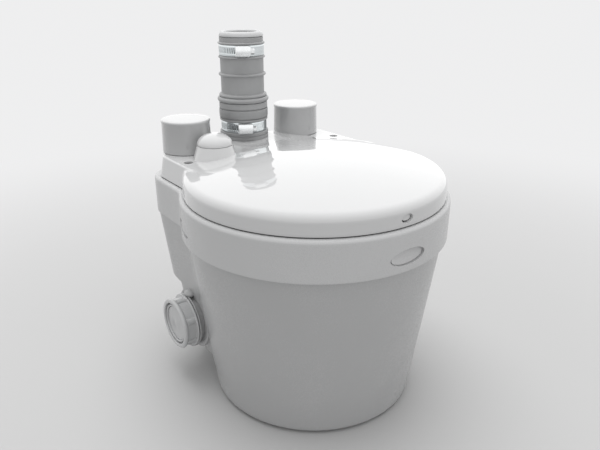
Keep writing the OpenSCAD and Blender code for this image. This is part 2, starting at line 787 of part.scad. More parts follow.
// A worm-drive clip: its band at radius r, its worm housing on one side
module clip_band(z, r) {
  translate([0, service_y, hose_z + z]) rotate([0, 0, -clip_turn])
    difference() {
      union() {
        tube(r + band_t, r + run, band_w);
        translate([-worm_l / 2, -(r + band_t + 2 * worm_r + 1), band_w / 2 - worm_r - 1.2])
          cube([worm_l, 2 * worm_r + 2, 2 * worm_r + 2.4]);
      }
      translate([-worm_l, -(r + band_t + worm_r + 0.3), band_w / 2]) rotate([0, 90, 0])
        cylinder(r = worm_r + run, h = 2 * worm_l, $fn = 32);
      for (i = [1:7])
        rotate([0, 0, -16 - 5.2 * i])
          translate([0, -r - 3, band_w / 2]) cube([0.9, 8, band_w * 0.55], center = true);
      translate([0, 0, -1]) cylinder(r = r + run, h = band_w + 2);
    }
}
// The worm screw with its hexagonal head
module clip_screw(z, r) {
  translate([0, service_y, hose_z + z]) rotate([0, 0, -clip_turn])
    translate([0, -(r + band_t + worm_r + 0.3), band_w / 2]) rotate([0, 90, 0]) {
      translate([0, 0, -worm_l / 2 + 1]) cylinder(r = worm_r, h = worm_l - 1, $fn = 32);
      difference() {
        translate([0, 0, worm_l / 2 + gap]) cylinder(r = worm_r + 0.6, h = 4.6, $fn = 6);
        translate([0, 0, worm_l / 2 + 5]) cube([1, 10, 3], center = true);
      }
      translate([0, 0, worm_l / 2 - 1]) cylinder(r = worm_r - 0.8, h = 2, $fn = 24);
    }
}
module upper_clip() { color([0.78, 0.8, 0.81]) clip_band(top_clip_z, hose_r); }
module lower_clip() { color([0.78, 0.8, 0.81]) clip_band(low_clip_z, low_seat_r); }
module upper_clip_screw() { color([0.86, 0.87, 0.88]) clip_screw(top_clip_z, hose_r); }
module lower_clip_screw() { color([0.86, 0.87, 0.88]) clip_screw(low_clip_z, low_seat_r); }

// The ribbed union nut of a side inlet
module inlet_nut(s) {
  at_inlet(s) difference() {
    union() {
      translate([0, 0, nut_rear]) cylinder(r = nut_r - 0.8, h = nut_l - 2);
      translate([0, 0, inlet_face - 2.4]) cylinder(r = nut_r, h = 1.4);
      translate([0, 0, inlet_face - 1]) cylinder(r1 = nut_r, r2 = nut_r - 1, h = 1);
      translate([0, 0, nut_rear]) cylinder(r = nut_r + 0.4, h = 1.6);
      for (i = [0:nut_ribs - 1])
        rotate([0, 0, nut_rib_turn + i * 360 / nut_ribs])
          translate([nut_r - 3, -nut_rib_w / 2, nut_rear + 0.7])
            cube([3 + nut_rib_out, nut_rib_w, nut_l - 2.5]);
    }
    translate([0, 0, nut_rear - 1]) cylinder(r = thread_r + gap, h = nut_l - nut_lip + 1);
    translate([0, 0, nut_rear]) cylinder(r = nut_mouth_r, h = nut_l + 1);
  }
}
module inlet_nut_left() { color([0.74, 0.75, 0.76]) inlet_nut(-1); }
module inlet_nut_right() { color([0.74, 0.75, 0.76]) inlet_nut(1); }

// The blanking disc held by the nut, with its raised ring
module inlet_blank(s) {
  at_inlet(s) {
    translate([0, 0, washer_x + washer_t]) cylinder(r = thread_r, h = blank_t);
    translate([0, 0, washer_x + washer_t + blank_t]) tube(nut_mouth_r - 0.8, nut_mouth_r - 2.4, 1.3);
  }
}
module inlet_blank_left() { color([0.74, 0.75, 0.76]) inlet_blank(-1); }
module inlet_blank_right() { color([0.74, 0.75, 0.76]) inlet_blank(1); }
module inlet_seal(s) { at_inlet(s) translate([0, 0, washer_x]) tube(thread_r, inlet_bore, washer_t); }
module inlet_seal_left() { color([0.12, 0.12, 0.12]) inlet_seal(-1); }
module inlet_seal_right() { color([0.12, 0.12, 0.12]) inlet_seal(1); }

// The non-return flap inside a side inlet, hung on a pin at its top
module inlet_flap(s) {
  at_inlet(s) difference() {
    union() {
      difference() {
        translate([0, 0, flap_z]) cylinder(r = sleeve_out - 0.7, h = flap_t);
        translate([flap_flat, -sleeve_out, flap_z - 1]) cube([10, 2 * sleeve_out, flap_t + 2]);
      }
      translate([0, -flap_hub / 2, flap_z]) cube([flap_pin_x, flap_hub, flap_t]);
      translate([flap_pin_x, -flap_hub / 2, flap_pin_z]) rotate([-90, 0, 0])
        cylinder(r = flap_pin_r + 1.4, h = flap_hub, $fn = 32);
    }
    translate([flap_pin_x, -flap_hub, flap_pin_z]) rotate([-90, 0, 0])
      cylinder(r = flap_pin_r + run, h = 2 * flap_hub, $fn = 32);
  }
}
module inlet_flap_left() { color([0.3, 0.3, 0.31]) inlet_flap(-1); }
module inlet_flap_right() { color([0.3, 0.3, 0.31]) inlet_flap(1); }
module inlet_flap_pins() {
  color([0.7, 0.71, 0.72])
    for (s = [-1, 1])
      at_inlet(s) translate([flap_pin_x, -flap_pin_l, flap_pin_z]) rotate([-90, 0, 0])
        cylinder(r = flap_pin_r, h = 2 * flap_pin_l, $fn = 32);
}

// Rubber bushes under the pump's legs
module pump_feet() {
  color([0.15, 0.15, 0.15])
    for (i = [0:2])
      rotate([0, 0, 30 + 120 * i]) translate([leg_at, 0, floor_z]) cylinder(r = 8, h = bush_h);
}

// The pump casing: a chamber with three legs, a suction eye and a rear outlet
module pump_casing() {
  color([0.3, 0.31, 0.33])
  difference() {
    union() {
      translate([0, 0, casing_z]) cylinder(r = casing_r, h = casing_h);
      for (i = [0:2])
        rotate([0, 0, 30 + 120 * i])
          translate([leg_at, 0, floor_z + bush_h]) cylinder(r = 6.5, h = casing_z + 2 - floor_z - bush_h);
      translate([-pipe_r, 0, casing_z]) cube([2 * pipe_r, throat_y, casing_h]);
      translate([0, throat_y, outlet_z]) rotate([-90, 0, 0]) cylinder(r = pipe_r, h = outlet_l);
    }
    translate([0, 0, casing_z + casing_t]) cylinder(r = chamber_r, h = chamber_h + 1);
    translate([0, 0, casing_z - 1]) cylinder(r = eye_r, h = casing_h);
    translate([-11, 0, casing_z + casing_t]) cube([22, throat_y + 4, chamber_h - 3]);
    translate([0, throat_y + 3, outlet_z]) rotate([-90, 0, 0]) cylinder(r = pipe_bore, h = outlet_l);
    for (i = [0:3]) rotate([0, 0, 45 + 90 * i])
      translate([bolt_at, 0, casing_z + casing_t + 4]) cylinder(r = bolt_r, h = casing_h, $fn = 32);
  }
}

// The fixed cutter ring round the suction eye
module cutter_ring() {
  color([0.62, 0.63, 0.65])
    translate([0, 0, casing_z - cutter_h]) difference() {
      tube(cutter_r, cutter_bore, cutter_h);
      for (i = [0:11]) rotate([0, 0, 30 * i])
        translate([cutter_bore - 1, -2, -1]) cube([cutter_r, 4, cutter_h - 2]);
    }
}

// The two-armed blade on the shaft's end
module cutter_blade() {
  color([0.7, 0.71, 0.73])
  difference() {
    translate([0, 0, blade_z]) union() {
      cylinder(r = blade_hub_r, h = casing_z + casing_t + 1.5 - blade_z);
      for (a = [0, 180]) rotate([0, 0, a])
        linear_extrude(4) polygon([[0, -6], [cutter_bore - 3, -5], [cutter_bore - 1.2, 0],
          [cutter_bore - 3, 4], [0, 6]]);
    }
    translate([0, 0, shaft_z - 1]) cylinder(r = shaft_r, h = 60);
  }
}
module blade_nut() {
  color([0.66, 0.67, 0.69])
  difference() {
    translate([0, 0, blade_z - 5]) cylinder(r = shaft_r + 3, h = 5, $fn = 6);
    translate([0, 0, shaft_z - 1]) cylinder(r = shaft_r, h = 60);
  }
}

// An open impeller with curved vanes that hang from its disc
module impeller() {
  color([0.45, 0.46, 0.48])
  translate([0, 0, casing_z + casing_t + 1.5]) difference() {
    union() {
      translate([0, 0, chamber_h - 5.5]) cylinder(r = impeller_r, h = 3);
      cylinder(r = shaft_r + 5, h = chamber_h - 3);
      for (i = [0:vanes - 1]) rotate([0, 0, i * 360 / vanes])
        translate([vane_c, 0, 1]) rotate([0, 0, 180 - vane_end])
          rotate_extrude(angle = vane_end - vane_start)
            translate([vane_r - vane_t / 2, 0]) square([vane_t, chamber_h - 6]);
    }
    translate([0, 0, -1]) cylinder(r = shaft_r, h = chamber_h + 2);
  }
}

// The plate between the pump and the motor
module seal_plate() {
  color([0.5, 0.51, 0.53])
  difference() {
    union() {
      translate([0, 0, plate_z]) cylinder(r = casing_r, h = plate_t);
      translate([0, 0, plate_z]) cylinder(r = bearing_r + 6, h = plate_t + bearing_h + 2);
    }
    translate([0, 0, plate_z - 1]) cylinder(r = seal_r, h = plate_t + 4);
    translate([0, 0, plate_z + plate_t + 2]) cylinder(r = bearing_r, h = bearing_h + 2);
    bolt_holes(plate_z - 1, plate_t + 2);
  }
}
module bolt_holes(z, h) {
  for (i = [0:3]) rotate([0, 0, 45 + 90 * i])
    translate([bolt_at, 0, z]) cylinder(r = bolt_r, h = h, $fn = 32);
}
module shaft_seal() {
  color([0.15, 0.15, 0.16])
    translate([0, 0, plate_z + 0.5]) tube(seal_r, shaft_r + run, plate_t - 1);
}
module lower_bearing() {
  color([0.75, 0.76, 0.78])
    translate([0, 0, plate_z + plate_t + 2]) tube(bearing_r, shaft_r + run, bearing_h);
}

// The motor's can, with a flange that is screwed to the seal plate
module motor_housing() {
  color([0.35, 0.37, 0.4])
  difference() {
    union() {
      translate([0, 0, can_z]) cylinder(r = casing_r, h = 4);
      translate([0, 0, can_z]) cylinder(r = motor_r, h = motor_h);
      for (i = [0:23]) rotate([0, 0, 15 * i + 7.5])
        translate([motor_r - 1, -0.8, can_z + 10]) cube([2.6, 1.6, motor_h - 20]);
    }
    translate([0, 0, can_z - 1]) cylinder(r = can_r, h = motor_h + 2);
    bolt_holes(can_z - 1, 8);
  }
}
module stator_core() {
  color([0.4, 0.4, 0.42])
    translate([0, 0, stack_z]) tube(can_r, rotor_r + 0.4, stack_h);
}
module stator_windings() {
  color([0.72, 0.4, 0.2]) {
    translate([0, 0, stack_z - 11]) tube(can_r - 4, rotor_r + 2.4, 11);
    translate([0, 0, stack_z + stack_h]) tube(can_r - 4, rotor_r + 2.4, 11);
  }
}
module rotor_core() {
  color([0.55, 0.55, 0.57])
    translate([0, 0, stack_z - 1]) tube(rotor_r, shaft_r, stack_h + 2);
}
module motor_shaft() {
  color([0.8, 0.81, 0.82])
    translate([0, 0, shaft_z]) cylinder(r = shaft_r, h = cover_z - 2 - shaft_z);
}
module upper_bearing() {
  color([0.75, 0.76, 0.78])
    translate([0, 0, cover_z - bearing_h]) tube(bearing_r - 2, shaft_r + run, bearing_h - 1);
}

// The motor's top cover, with an arm that carries the air tube
module motor_cover() {
  color([0.35, 0.37, 0.4])
  difference() {
    union() {
      translate([0, 0, cover_z]) cylinder(r = motor_r, h = cover_t);
      translate([0, 0, cover_z - bearing_h - 1]) cylinder(r = bearing_r + 3, h = bearing_h + 2);
      translate([-air_x, -arm_w / 2, cover_z]) cube([air_x, arm_w, cover_t]);
      translate([-air_x, 0, cover_z]) cylinder(r = switch_r - 2, h = cover_t);
    }
    translate([0, 0, cover_z - bearing_h - 2]) cylinder(r = bearing_r - 2, h = bearing_h + 1);
    translate([-air_x, 0, cover_z - 1]) cylinder(r = air_r, h = cover_t + 2);
  }
}
module pump_screws() {
  color([0.75, 0.76, 0.78])
    for (i = [0:3]) rotate([0, 0, 45 + 90 * i])
      translate([bolt_at, 0, 0]) {
        translate([0, 0, casing_z + casing_t + 4])
          cylinder(r = bolt_r, h = can_z - casing_z - casing_t, $fn = 32);
        translate([0, 0, can_z + 4]) cylinder(r = 3.6, h = 3.5, $fn = 6);
      }
}

// The control box on the motor and what it holds
module control_box() {
  color([0.8, 0.8, 0.8])
    translate([0, 0, box_z]) difference() {
      translate([-box_l / 2, -box_w / 2, 0]) cube([box_l, box_w, box_h - cover_h]);
      translate([box_t - box_l / 2, box_t - box_w / 2, box_t])
        cube([box_l - 2 * box_t, box_w - 2 * box_t, box_h]);
    }
}
module control_box_cover() {
  color([0.8, 0.8, 0.8])
    translate([-box_l / 2, -box_w / 2, box_z + box_h - cover_h]) cube([box_l, box_w, cover_h]);
}
module capacitor() {
  color([0.9, 0.9, 0.88])
    translate([-capacitor_l / 2, -box_w / 2 + box_t + 2 + capacitor_r, box_z + box_t + capacitor_r])
      rotate([0, 90, 0]) cylinder(r = capacitor_r, h = capacitor_l);
}
module terminal_block() {
  color([0.9, 0.88, 0.8])
    translate([-block_l / 2, box_w / 2 - box_t - 5.5 - block_w, box_z + box_t]) difference() {
      cube([block_l, block_w, block_w]);
      for (i = [0:4])
        translate([(i + 0.5) * block_l / 5, block_w / 2, block_w / 2])
          cylinder(r = block_w / 5, h = block_w, $fn = 24);
    }
}

// The air tube and the pressure switch that sense the water level
module air_tube() {
  color([0.85, 0.85, 0.85]) {
    translate([-air_x, 0, floor_z + 18]) tube(air_r, air_r - 2, box_z - floor_z - 18);
    translate([-air_x, 0, box_z]) tube(switch_r - 2, air_r - 2, 3);
  }
}
module switch_base() {
  color([0.2, 0.2, 0.22])
    translate([-air_x, 0, switch_z]) difference() {
      cylinder(r = switch_r, h = switch_h);
      translate([0, 0, -1]) cylinder(r = air_r - 2, h = switch_h + 2);
      translate([0, 0, 3]) cylinder(r = switch_r - 4, h = switch_h);
    }
}
module switch_membrane() {
  color([0.1, 0.1, 0.1]) translate([-air_x, 0, switch_z + switch_h])
    cylinder(r = switch_r, h = membrane_t);
}
module switch_cover() {
  color([0.2, 0.2, 0.22])
    translate([-air_x, 0, cap_z]) difference() {
      cylinder(r = switch_r, h = switch_cap_h);
      translate([0, 0, -1]) cylinder(r = switch_r - 4, h = switch_cap_h - 1.5);
      cylinder(r = plunger_r + run, h = switch_cap_h + 1, $fn = 32);
    }
}
module switch_plunger() {
  color([0.9, 0.9, 0.9])
    translate([-air_x, 0, cap_z]) {
      cylinder(r = 8, h = 2);
      cylinder(r = plunger_r, h = switch_cap_h + 0.5, $fn = 32);
    }
}
module microswitch() {
  color([0.15, 0.15, 0.16])
    translate([-air_x, 0, cap_z + switch_cap_h]) difference() {
      translate([-10, -5, 0]) cube([20, 10, 13]);
      translate([-5, -8, -1]) cube([10, 16, 1 + plunger_travel + 1.1]);
    }
}

// The riser: from the pump's outlet up and back to the valve under the hose, with a
// drum-shaped elbow at each corner
module discharge_riser() {
  color([0.3, 0.31, 0.33])
  difference() {
    union() {
      pipe_run(pipe_r, elbow_out);
      translate([0, socket_y, outlet_z]) rotate([-90, 0, 0])
        cylinder(r = pipe_r + 3.3, h = outlet_l);
    }
    pipe_run(pipe_bore, elbow_in);
    translate([0, socket_y - 1, outlet_z]) rotate([-90, 0, 0]) cylinder(r = pipe_r, h = outlet_l - 2);
  }
}
module pipe_run(r, extra) {
  path = concat([[0, socket_y + 4, outlet_z]], riser_bends, [[0, service_y, valve_z]]);
  for (i = [0:len(path) - 2]) pipe_leg(path[i], path[i + 1], r);
  for (p = riser_bends)
    translate(p) rotate([0, 90, 0]) cylinder(r = r + extra, h = 2 * (r + 0.7 * extra), center = true);
}
// A straight pipe from p to q in the middle plane
module pipe_leg(p, q, r) {
  translate(p) rotate([-atan2(q[1] - p[1], q[2] - p[2]), 0, 0]) cylinder(r = r, h = norm(q - p));
}

// The non-return valve's body, its flap and the flap's pin
module valve_body() {
  color([0.3, 0.31, 0.33])
  translate([0, service_y, 0]) difference() {
    union() {
      translate([0, 0, valve_z]) cylinder(r = valve_r, h = valve_top - valve_z);
    }
    translate([0, 0, valve_z - 1]) cylinder(r = pipe_bore, h = 20);
    translate([0, 0, valve_z + 6]) cylinder(r = valve_r - 3, h = valve_top);
    translate([-valve_pin_l, -valve_pin_y, valve_pin_z]) rotate([0, 90, 0])
      cylinder(r = valve_pin_r, h = 2 * valve_pin_l, $fn = 32);
  }
}
module valve_flap() {
  color([0.15, 0.15, 0.15])
  translate([0, service_y, 0]) difference() {
    union() {
      translate([0, 0, valve_z + 6 + gap]) cylinder(r = pipe_bore + 1.6, h = 2);
      translate([-6, -valve_pin_y, valve_z + 6 + gap]) cube([12, valve_pin_y, 2]);
      translate([-6, -valve_pin_y, valve_pin_z]) rotate([0, 90, 0])
        cylinder(r = valve_pin_r + 0.8, h = 12, $fn = 32);
    }
    translate([-10, -valve_pin_y, valve_pin_z]) rotate([0, 90, 0])
      cylinder(r = valve_pin_r + run, h = 20, $fn = 32);
  }
}
module valve_pin() {
  color([0.7, 0.71, 0.72])
    translate([-valve_pin_l, service_y - valve_pin_y, valve_pin_z]) rotate([0, 90, 0])
      cylinder(r = valve_pin_r, h = 2 * valve_pin_l, $fn = 32);
}

tank();
tank_feet();
lid();
lid_seal();
lid_screws();
top_inlet_sleeves();
top_cap_left();
top_cap_right();
vent_filter();
vent_cap();
cable_gland();
cable_gland_nut();
outlet_spigot();
outlet_seal();
discharge_hose();
upper_clip();
upper_clip_screw();
lower_clip();
lower_clip_screw();
inlet_nut_left();
inlet_nut_right();
inlet_blank_left();
inlet_blank_right();
inlet_seal_left();
inlet_seal_right();
inlet_flap_left();
inlet_flap_right();
inlet_flap_pins();
pump_feet();
pump_casing();
cutter_ring();
cutter_blade();
blade_nut();
impeller();
shaft_seal();
seal_plate();
lower_bearing();
motor_housing();
stator_core();
stator_windings();
rotor_core();
motor_shaft();
upper_bearing();
motor_cover();
pump_screws();
control_box();
control_box_cover();
capacitor();
terminal_block();
air_tube();
switch_base();
switch_membrane();
switch_cover();
switch_plunger();
microswitch();
discharge_riser();
valve_body();
valve_flap();
valve_pin();
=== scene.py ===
"""Visual model of the grey water macerator pump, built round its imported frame."""

import json
import math

import bmesh
import bpy
import numpy as np
from bpy.props import FloatProperty, FloatVectorProperty, IntProperty, PointerProperty
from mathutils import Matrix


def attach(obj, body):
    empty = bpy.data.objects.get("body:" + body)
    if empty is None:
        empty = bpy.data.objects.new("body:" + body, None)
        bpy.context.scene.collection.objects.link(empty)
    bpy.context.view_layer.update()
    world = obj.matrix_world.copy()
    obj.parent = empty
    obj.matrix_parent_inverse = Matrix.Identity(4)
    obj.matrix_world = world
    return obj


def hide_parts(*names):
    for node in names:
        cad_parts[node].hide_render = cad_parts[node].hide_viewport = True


bl_info = {
    "name": "Grey water macerator pump",
    "version": (1, 0, 0),
    "blender": (4, 2, 0),
    "location": "3D View > Sidebar > Pump",
    "description": "Builds the visible pieces of a grey water macerator pump",
    "category": "Object",
}

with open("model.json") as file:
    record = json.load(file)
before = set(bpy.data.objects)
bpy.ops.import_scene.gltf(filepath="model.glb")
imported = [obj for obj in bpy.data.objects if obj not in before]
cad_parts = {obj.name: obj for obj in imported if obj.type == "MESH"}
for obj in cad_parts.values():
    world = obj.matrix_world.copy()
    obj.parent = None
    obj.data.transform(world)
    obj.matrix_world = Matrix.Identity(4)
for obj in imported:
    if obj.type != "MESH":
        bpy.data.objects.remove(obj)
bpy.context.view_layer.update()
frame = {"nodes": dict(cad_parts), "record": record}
MM = 0.001
SIDES = ((-1, "left"), (1, "right"))


def size(name, text, value):
    """A length property in millimetres, kept as a plain number."""
    return FloatProperty(name=name, description=text + ", in mm", default=value, min=0.0)


def colour(name, text, value):
    """A colour property."""
    return FloatVectorProperty(name=name, description=text, default=value, size=3,
                               min=0.0, max=1.0, subtype="COLOR")


class PumpTankSizes(bpy.types.PropertyGroup):
    """Sizes of the tank and its collar."""

    floor_r: size("Drum radius", "Drum's radius at the floor", 113.3)
    collar_r: size("Collar radius", "Radius of its round part", 142.4)
    lip: size("Collar lip", "Collar's step out from the drum", 4.6)
    lip_z: size("Lip height", "Collar's lower edge", 190.0)
    rim_z: size("Rim height", "Collar's top", 232.0)
    box_half: size("Box half width", "Rear box's half width at the floor", 103.0)
    box_rear: size("Box rear", "Rear wall under the collar", 172.0)
    corner_r: size("Corner radius", "Upright rear corners", 45.0)
    box_lip: size("Box lip", "Collar's step out from the box", 1.3)
    step: size("Rear step", "Step forward of the lower rear wall", 19.0)
    step_z: size("Step height", "Height of that step", 106.5)
    lean: size("Wall lean", "Lean of the box's walls for each mm of height", 0.088)
    foot: size("Foot", "Drum's underside", 3.0)
    box_foot: size("Box foot", "Rear box's underside", 33.0)
    under_r: size("Under edge", "Edge round the underside", 4.0)
    riser_y: size("Riser line", "Riser's foot behind the drum's axis", 102.5)
    well_r: size("Well radius", "Round well under the riser", 32.0)
    wall: size("Wall", "Wall's thickness", 3.5)
    recess_l: size("Recess half length", "Half length of an oval recess", 21.5)
    recess_w: size("Recess half height", "Half height of an oval recess", 7.8)
    recess_d: size("Recess depth", "Depth of an oval recess", 3.0)
    recess_z: size("Recess height", "Recesses' middle above the lip", 14.8)
    pad_at: size("Pad offset", "Outer pads from the axis, along X and Y", 62.3)
    columns: IntProperty(name="Columns", description="Points round the tank", default=880, min=200)


class PumpLidSizes(bpy.types.PropertyGroup):
    """Sizes of the lid, its deck and what stands on it."""

    lid_r: size("Lid radius", "Radius of its round part", 138.0)
    seam_z: size("Seam height", "Lid's lower edge", 233.0)
    deck_z: size("Deck height", "Top of the flat deck", 256.0)
    saddle_z: size("Saddle height", "Top of the deck's raised middle", 261.8)
    dome_z: size("Crown height", "Top of the dome", 268.6)
    dome_r: size("Dome radius", "Radius of its sphere", 600.0)
    edge_r: size("Edge radius", "Lid's rounded edge", 9.0)
    deck_half: size("Deck half width", "Half width at the seam", 116.0)
    deck_rear: size("Deck rear", "Rear wall at the seam", 149.5)
    deck_corner: size("Deck corner", "Rear corners", 22.0)
    draft: size("Draft", "Lean of the deck's sides", 4.5)
    wall: size("Wall", "Lid's thickness", 3.0)
    cap_x: size("Cap offset", "Caps from the middle", 77.2)
    service_y: size("Service line", "Caps and hose behind the drum's axis", 138.8)
    cap_r: size("Cap radius", "Cap's radius at its foot", 28.0)
    cap_top: size("Cap top", "Top of the caps", 292.8)
    cap_boss_r: size("Cap boss", "Deck's boss round a cap", 28.2)
    hose_boss_r: size("Hose boss", "Deck's boss round the hose", 30.5)
    screw_x: size("Screw offset", "Lid screws from the middle", 101.2)
    screw_y: size("Screw line", "Lid screws behind the drum's axis", 89.8)
    screw_well_r: size("Screw well", "Screw well's radius", 5.0)
    vent_x: size("Vent offset", "Vent to the left of the middle", 68.0)
    vent_y: size("Vent line", "Vent behind the drum's axis", 90.0)
    vent_r: size("Vent foot radius", "Cone's radius at the deck", 24.4)
    vent_top_r: size("Vent top radius", "Cone's radius under its cap", 19.6)
    vent_top: size("Vent top", "Seam under the vent's cap", 271.0)
    columns: IntProperty(name="Columns", description="Points round the lid", default=760, min=200)


class PumpHoseSizes(bpy.types.PropertyGroup):
    """Sizes of the hose and its clips."""

    hose_r: size("Hose radius", "Upper tube's radius", 25.3)
    low_r: size("Lower radius", "Lower part's radius", 29.0)
    bore: size("Bore radius", "Bore at the hose's upper end", 19.0)
    spigot_r: size("Outlet radius", "Outlet tube inside the hose", 22.0)
    height: size("Hose height", "Hose above the deck", 122.2)
    flange_r: size("Flange radius", "Middle flange's radius", 30.0)
    flange_z: size("Flange height", "Middle flange above the hose's foot", 48.0)
    brim_h: size("Brim height", "Rolled brim's height", 5.2)
    seat: size("Clip seat", "Depth of the lower clip's seat", 2.6)
    upper_clip_z: size("Upper clip", "Upper clip above the hose's foot", 96.0)
    lower_clip_z: size("Lower clip", "Lower clip above the hose's foot", 9.0)
    band_w: size("Band width", "Clip band's width", 12.0)
    band_t: size("Band thickness", "Clip band's thickness", 0.8)
    worm_r: size("Worm radius", "Worm screw's radius", 3.4)
    worm_l: size("Worm length", "Worm housing's length", 15.0)
    clip_turn: FloatProperty(name="Clip direction", default=math.radians(27.0), subtype="ANGLE",
                             description="Direction that the housings face, from the front to the left")


class PumpInletSizes(bpy.types.PropertyGroup):
    """Sizes of the side inlets."""

    inlet_y: size("Inlet line", "Side inlets behind the drum's axis", 85.5)
    inlet_z: size("Inlet height", "Side inlets above the floor", 71.0)
    face: size("Nut face", "Nut's front face from the middle", 136.6)
    nut_r: size("Nut radius", "Nut's radius between its ribs", 29.4)
    nut_l: size("Nut length", "Nut's length", 17.0)
    mouth_r: size("Nut opening", "Radius of a nut's opening", 24.4)
    thread_r: size("Thread radius", "Threaded spigot's radius", 26.4)
    bore_r: size("Bore radius", "Side inlet's bore", 21.0)
    boss_r: size("Boss radius", "Boss on the tank", 35.5)
    root: size("Boss root", "Boss's inner end from the middle", 98.0)
    tip: size("Spigot tip", "Spigot's tip from the middle", 127.0)
    rib_half: size("Rib half width", "Half width of a rib", 3.7)
    rib_lift: size("Rib height", "Height of a rib", 2.5)
    rib_turn: FloatProperty(name="Rib turn", default=math.radians(34.6), subtype="ANGLE",
                            description="Turn of a nut's first rib")


class PumpFinish(bpy.types.PropertyGroup):
    """Colours of the outer finishes."""

    tank: colour("Tank", "Moulded grey plastic of the tank", (0.485, 0.487, 0.49))
    lid: colour("Lid", "Polished white plastic of the lid", (0.53, 0.532, 0.535))
    cap: colour("Caps", "Plastic of the top caps", (0.41, 0.412, 0.415))
    nut: colour("Nuts", "Plastic of the side nuts", (0.47, 0.474, 0.478))
    hose: colour("Hose", "Grey rubber of the hose", (0.50, 0.505, 0.51))
    steel: colour("Clips", "Stainless steel of the clips", (0.64, 0.675, 0.685))
    floor: colour("Floor", "Pale floor", (0.48, 0.48, 0.48))


# ---------------------------------------------------------------- meshes


def smax(a, b, k):
    """Smooth maximum: half of a plus b, plus half the root of their squared difference plus k squared."""
    return 0.5 * (a + b + np.sqrt((a - b) ** 2 + k * k))


def smoothstep(t):
    """Three t squared less two t cubed, with t held between 0 and 1."""
    t = np.clip(t, 0.0, 1.0)
    return t * t * (3.0 - 2.0 * t)


def circle(n):
    """n even angles round the circle."""
    return np.linspace(0.0, 2 * math.pi, n, endpoint=False)


def arc(cx, cz, r, a, b, n):
    """n + 1 points (x, z) of a circle of radius r about (cx, cz), from angle a to b in degrees."""
    t = np.radians(np.linspace(a, b, n + 1))
    return np.stack([cx + r * np.cos(t), cz + r * np.sin(t)], 1)


def about(x, z, *points):
    """Points given by their distances from (x, z)."""
    return np.asarray(points, float) + (x, z)


def chain(*parts):
    """Joins points and lists of points into one profile."""
    return np.concatenate([np.atleast_2d(np.asarray(p, float)) for p in parts])


def put(name, data):
    """An object of the data, in the scene and at the origin."""
    made = bpy.data.objects.new(name, data)
    bpy.context.scene.collection.objects.link(made)
    return made


def smooth(mesh, sharp):
    """Smooth shading but for the edges over the angle sharp, in degrees."""
    mesh.polygons.foreach_set("use_smooth", np.ones(len(mesh.polygons), bool))
    mesh.set_sharp_from_angle(angle=math.radians(sharp))
    mesh.update()


def finish_mesh(name, verts, quads, sharp):
    """An object of the points, in mm, and the quads, with doubles merged and the faces outwards."""
    mesh = bpy.data.meshes.new(name)
    mesh.from_pydata(verts * MM, [], quads)
    bm = bmesh.new()
    bm.from_mesh(mesh)
    bmesh.ops.remove_doubles(bm, verts=bm.verts, dist=2e-7)
    bmesh.ops.dissolve_degenerate(bm, edges=bm.edges, dist=1e-8)
    if bm.calc_volume(signed=True) < 0:
        bmesh.ops.reverse_faces(bm, faces=bm.faces)
    bm.to_mesh(mesh)
    bm.free()
    smooth(mesh, sharp)
    return put(name, mesh)


def grid(name, points, wrap=True, sharp=32.0):
    """A surface from a grid of points: the quad at (i, j) joins rows i and i + 1 and columns j and j + 1."""
    rows, cols = points.shape[:2]
    i = np.arange(rows - 1)[:, None]
    j = np.arange(cols if wrap else cols - 1)[None, :]
    k = (j + 1) % cols
    quads = np.stack([i * cols + j, i * cols + k, (i + 1) * cols + k, (i + 1) * cols + j], -1)
    return finish_mesh(name, points.reshape(-1, 3), quads.reshape(-1, 4), sharp)


def spun(profile, turns=128, side=None, radius=None):
    """Points of a surface of revolution: the point (r, h) of the profile at angle t is (r cos t, r sin t, h).

    With side = -1 or 1 the axis points to -X or +X instead of up. radius is a function of r, h and t
    that gives the radius to use."""
    t = circle(turns)[None, :]
    r = profile[:, 0:1] + 0 * t
    h = profile[:, 1:2] + 0 * t
    if radius is not None:
        r = radius(r, h, t)
    if side is None:
        return np.stack([r * np.cos(t), r * np.sin(t), h], -1)
    return np.stack([side * h, r * np.cos(t), r * np.sin(t)], -1)


def revolve(name, profile, at=(0.0, 0.0, 0.0), turns=128, side=None, radius=None, sharp=32.0):
    """A surface of revolution about an axis through at."""
    return grid(name, spun(profile, turns, side, radius) + np.asarray(at, float), sharp=sharp)


def loop(points):
    """Closes a profile by repeating its first point."""
    return np.concatenate([points, points[:1]])


def box_reach(s, c, half, rear, corner):
    """Distance from the drum's axis to a rounded box along the direction (s, c).

    The box has the half width half, its rear wall at rear and corners of radius corner. The distance is the
    least of half / |s| and rear / c, and in the corner the ray's far crossing of the corner's circle."""
    s = np.abs(s) + 1e-9
    back = np.where(c > 1e-6, c, 1e-6)
    r = np.minimum(half / s, rear / back)
    px, py = half - corner, rear - corner
    p = px * s + py * c
    root = corner ** 2 - (px * px + py * py - p * p)
    round_r = p + np.sqrt(np.maximum(root, 0.0))
    in_corner = (r * s > px) & (r * c > py) & (root > 0)
    r = np.where(in_corner, round_r, r)
    return np.where(c > 0.02, r, 0.0)


def circle_reach(s, c, x, y, radius):
    """Far crossing of the direction (s, c) with a circle about (x, y), or 0 where it misses."""
    p = x * s + y * c
    root = radius ** 2 - (x * x + y * y - p * p)
    return np.where((root > 0) & (p > 0), p + np.sqrt(np.maximum(root, 0.0)), 0.0)


def spread(n, spots):
    """n angles round the circle, closer together near the spots, (angle, half width, weight) in degrees."""
    fine = np.linspace(0.0, 2 * math.pi, 14401)
    weight = np.ones_like(fine)
    for angle, half, extra in spots:
        off = np.degrees(np.abs((fine - math.radians(angle) + math.pi) % (2 * math.pi) - math.pi))
        weight += extra * smoothstep(1.5 - off / half)
    total = np.concatenate([[0.0], np.cumsum(0.5 * (weight[1:] + weight[:-1]))])
    return np.interp(np.arange(n) / n * total[-1], total, fine)


